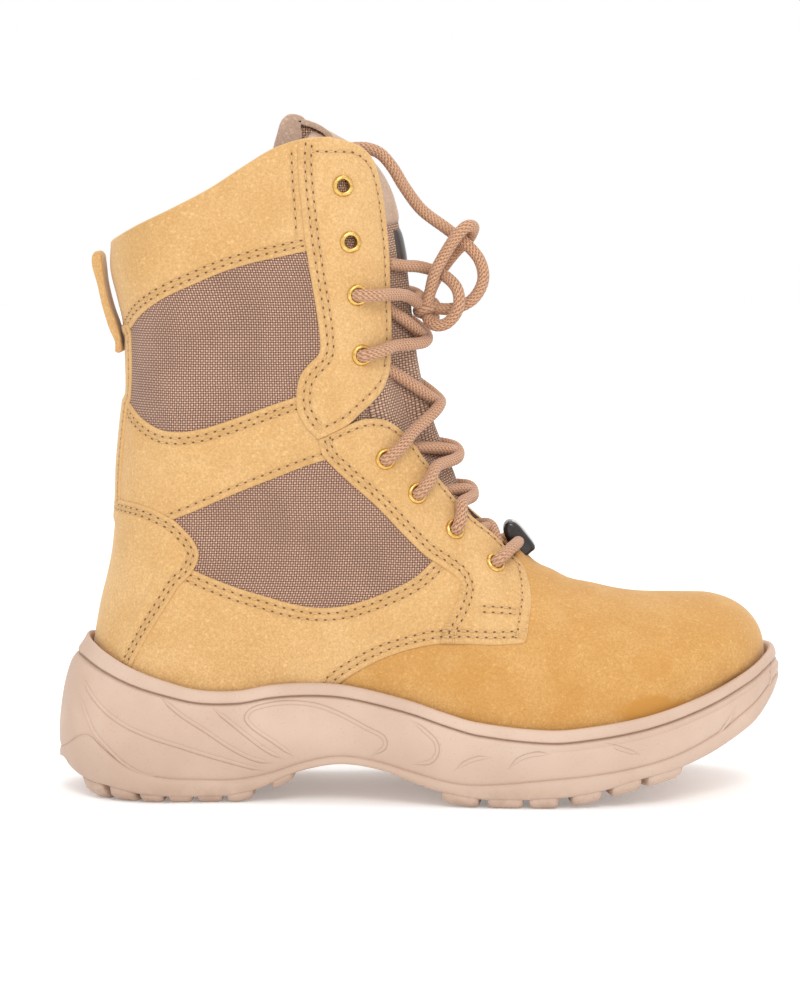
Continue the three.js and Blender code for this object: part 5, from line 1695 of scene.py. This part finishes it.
# Eyelet, place where the strand goes over the facing's edge, share of the tongue where two
# strands meet, and place where it goes under the other facing.
CROSSINGS = [(0, None, 0.132, (176.5, 112.2)), (1, (166.4, 120.6), 0.22, (160.8, 128.5)),
             (2, (155.6, 136), 0.295, (147.6, 146.2)), (3, (145.8, 151), 0.385, (136.6, 181)),
             (4, (138, 187.4), 0.497, (137.4, 205.4))]
UNDER = -WALL - LACE / 2 - 0.3  # height of a strand under a facing


def knot_line():
    x, y, z = KNOT_START
    share = np.linspace(0, 1, 90)
    angle = share * KNOT_TURNS * 2 * math.pi
    return np.stack([x + KNOT_RADIUS * np.cos(angle), y + KNOT_RADIUS * np.sin(angle),
                     z + KNOT_RISE * share], -1)


def strand_line(side, row, lift):
    """Route of one crossing, from an eyelet over the tongue to the next one on the other side."""
    index, edge, middle, under = row
    here, after = EYELETS[index], EYELETS[index + 1]
    if edge:
        start = [over_face(side, here, -2.6), over_face(side, here, 2.4),
                 over_face(side, lerp(here, np.array(edge), 0.5), EYELET_TOP - 1.2),
                 over_face(side, edge, LACE / 2 + 0.8)]
    else:
        start = [over_face(side, here, UNDER), over_face(side, (187, 100.6), UNDER)]
    gap = tongue_row(middle)[2]
    return [*start, tongue_point(middle - 0.008, side * 0.4 * gap, LACE / 2 + 0.6 + 0.6 * lift),
            tongue_point(middle + 0.008, -side * 0.35 * gap, LACE / 2 + 0.4 + 0.45 * lift),
            over_face(-side, under, UNDER), over_face(-side, lerp(np.array(under), after, 0.6), UNDER),
            over_face(-side, after, UNDER + 0.6)]


def free_cord(name, line, node, material):
    """A free stretch of lace that takes a CAD part's place."""
    path = smooth_curve(line, CURVE_STEP)
    obj = build_lace(name, path, material)
    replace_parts(obj, node)


def build_laces(material):
    knot = knot_line()
    free_cord("knot_cord", knot, "lace_knot", material)
    free_cord("end_cord", LACE_END, "lace_end", material)
    free_cord("bow_cord", LACE_BOW_LOOP, "lace_bow_loop", material)
    free_cord("small_cord", LACE_SMALL_LOOP, "lace_small_loop", material)
    for number, row in enumerate(CROSSINGS, 1):
        for side, word, lift in ((LATERAL, "lateral", 2.6), (MEDIAL, "medial", -0.6)):
            path = smooth_curve(strand_line(side, row, lift), CURVE_STEP)
            obj = build_lace(f"strand_{word}_{number}", path, material)
            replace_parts(obj, f"lace_crossing_{number}")
    x, z = KEEPER_HOLE
    half = {side: [over_face(side, EYELETS[0], -2.4), over_face(side, EYELETS[0], 2.4),
                   over_face(side, (186, 100.6), LACE / 2 + 1.8),
                   np.array([x - 0.6, side * 8.0, z]), np.array([x, side * 3.0, z])]
            for side in (LATERAL, MEDIAL)}
    path = smooth_curve(half[LATERAL] + half[MEDIAL][::-1], CURVE_STEP)
    obj = build_lace("bar_cord", path, material)
    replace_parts(obj, "lace_bar")
    for side, word, end in (
            (LATERAL, "lateral", [(146.4, -20, 207.4), (150.4, -12.6, 204.4), (154, -8, 202.6)]),
            (MEDIAL, "medial", [(147.4, 13, 208.4), (151, 1.6, 207), (154.2, -6, 203.6)])):
        line = [over_face(side, EYELETS[5], -2.4), over_face(side, EYELETS[5], 2.2),
                over_face(side, (131, 208.4), EYELET_TOP - 0.6),
                over_face(side, (137.5, 208.6), LACE / 2 + 1), *end]
        obj = build_lace(f"top_strand_{word}", smooth_curve(line, CURVE_STEP), material)
        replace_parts(obj, f"lace_top_{word}")


# ------------------------------------------------------------------ making the boot
suede = suede_material("suede", (0.7, 0.445, 0.205), (0.645, 0.388, 0.162), (0.53, 0.295, 0.1))
# Worn patches of the vamp: side-view place (x, z), half-width, half-height, strength.
STAINS = [(247, 38.5, 16, 7, 0.95), (246, 58, 9, 7, 0.35), (176, 50, 22, 9, 0.15)]
vamp_suede = suede_material("vamp_suede", (0.62, 0.355, 0.13), (0.565, 0.302, 0.096),
                            (0.53, 0.25, 0.055), STAINS)
pale_suede = suede_material("pale_suede", (0.64, 0.47, 0.37), (0.52, 0.36, 0.27), (0.4, 0.25, 0.17))
# The last colour of each weave is the painted shade between its threads.
fabric = weave_material("fabric", 1.0, (0.7, 0.445, 0.325), (0.12, 0.05, 0.028))
tongue_cloth = weave_material("tongue_cloth", 1.0, (0.78, 0.51, 0.36), (0.15, 0.07, 0.04))
lining = plain_cloth("lining", (0.2, 0.13, 0.1), (0.1, 0.06, 0.045))
# The last colour serves the dirt specks and scuffs and the painted shade.
rubber = rubber_material("sole_rubber", (0.595, 0.44, 0.345), (0.53, 0.375, 0.285), (0.28, 0.165, 0.11))
# The second colour is the painted shade in the hollows of the braid.
lace_cloth = braid_material("lace_braid", (0.65, 0.39, 0.245), (0.3, 0.145, 0.078))
brass = brass_material()
plastic = plastic_material()
# Pale grey of the keeper's painted highlight.
keeper_highlight = plain_material("keeper_highlight_plate", (0.62, 0.6, 0.58), 0.3)
patch = plain_material("patch", (0.06, 0.045, 0.04), 0.35)
thread = plain_material("thread", (0.66, 0.42, 0.2), 0.8, 1500)
# Colour of the painted shade in the needle holes.
needle_hole_shade = plain_material("needle_hole_shade", (0.16, 0.07, 0.03), 0.95)

tongue = Tongue()
build_laces(lace_cloth)

vamp, collar, band = vamp_panel(), collar_panel(), band_panel()
quarters = {side: quarter_panel(side, word, (vamp,)) for side, word in WORDS.items()}
counter = counter_panel((band, *quarters.values()))
low_facings = {side: low_facing(side, word, (vamp, quarters[side], band))
               for side, word in WORDS.items()}
high_facings = {side: high_facing(side, word, (low_facings[side], collar, band))
                for side, word in WORDS.items()}
backstay = backstay_panel((collar, band))
shell = upper_shell()
eyelet_places = {side: shares(side, EYELETS) for side in WORDS}
for side in WORDS:
    low_facings[side].holes = eyelet_places[side][:4]
    high_facings[side].holes = eyelet_places[side][4:]
shell.holes = np.vstack(list(eyelet_places.values()))
panels = [collar, band, *quarters.values(), counter, *low_facings.values(),
          *high_facings.values(), backstay]
vamp.build(vamp_suede)
for panel in panels:
    panel.build(suede)
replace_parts(build_sheet(shell, FABRIC_OUT, -WALL, [fabric, lining]), "upper")
stitch_all("stitches", [vamp, *panels], thread, needle_hole_shade)
build_ridges(build_midsole(rubber), rubber)
build_outsole(rubber)
build_insole(lining)
build_tongue(tongue_cloth, pale_suede, patch)
build_gussets(tongue_cloth)
build_small_parts(suede, pale_suede, tongue_cloth, plastic, keeper_highlight)
build_eyelets(brass, {side: (low_facings[side], high_facings[side]) for side in WORDS})

# ------------------------------------------------------------------ stage, light and camera
FLOOR_HALF = 6.0


def add_stage():
    mesh = bpy.data.meshes.new("floor")
    corners = [(-FLOOR_HALF, -FLOOR_HALF, 0), (FLOOR_HALF, -FLOOR_HALF, 0),
               (FLOOR_HALF, FLOOR_HALF, 0), (-FLOOR_HALF, FLOOR_HALF, 0)]
    mesh.from_pydata(corners, [], [(0, 1, 2, 3)])
    floor = bpy.data.objects.new("floor", mesh)
    bpy.context.scene.collection.objects.link(floor)
    s = Shader("floor", Roughness=0.9)
    s.set("Base Color", s.mix(s.noise(3, 2, 0.5), (0.9, 0.9, 0.9), (0.92, 0.92, 0.92)))
    s.set("Emission Color", (1, 1, 1, 1))
    s.set("Emission Strength", 0.2)
    mesh.materials.append(s.material)


def add_light(name, place, aim, size, power):
    light = bpy.data.lights.new(name, "AREA")
    light.shape, light.size, light.energy = "SQUARE", size, power
    obj = bpy.data.objects.new(name, light)
    obj.location = place
    obj.rotation_euler = (Vector(aim) - Vector(place)).to_track_quat("-Z", "Y").to_euler()
    bpy.context.scene.collection.objects.link(obj)


add_stage()
add_light("key", (0.15, -1.25, 1.15), (0, 0, 0.1), 0.6, 9)
add_light("top", (0.1, 0.3, 1.5), (0, 0, 0.1), 0.9, 5)

world = bpy.data.worlds.new("world")
bpy.context.scene.world = world
world.use_nodes = True
background = world.node_tree.nodes["Background"]
background.inputs["Color"].default_value = (1, 1, 1, 1)
background.inputs["Strength"].default_value = 1.0
bpy.context.scene.view_settings.view_transform = "Standard"

CAMERA_PLACE, CAMERA_AIM, LENS = (143.0, -1294.0, 246.0), (143.0, 0.0, 121.4), 111.4
camera_data = bpy.data.cameras.new("camera")
camera_data.lens = LENS
camera = bpy.data.objects.new("camera", camera_data)
place, aim = Vector(to_frame(CAMERA_PLACE)), Vector(to_frame(CAMERA_AIM))
camera.location = place
camera.rotation_euler = (aim - place).to_track_quat("-Z", "Y").to_euler()
bpy.context.scene.collection.objects.link(camera)
bpy.context.scene.camera = camera
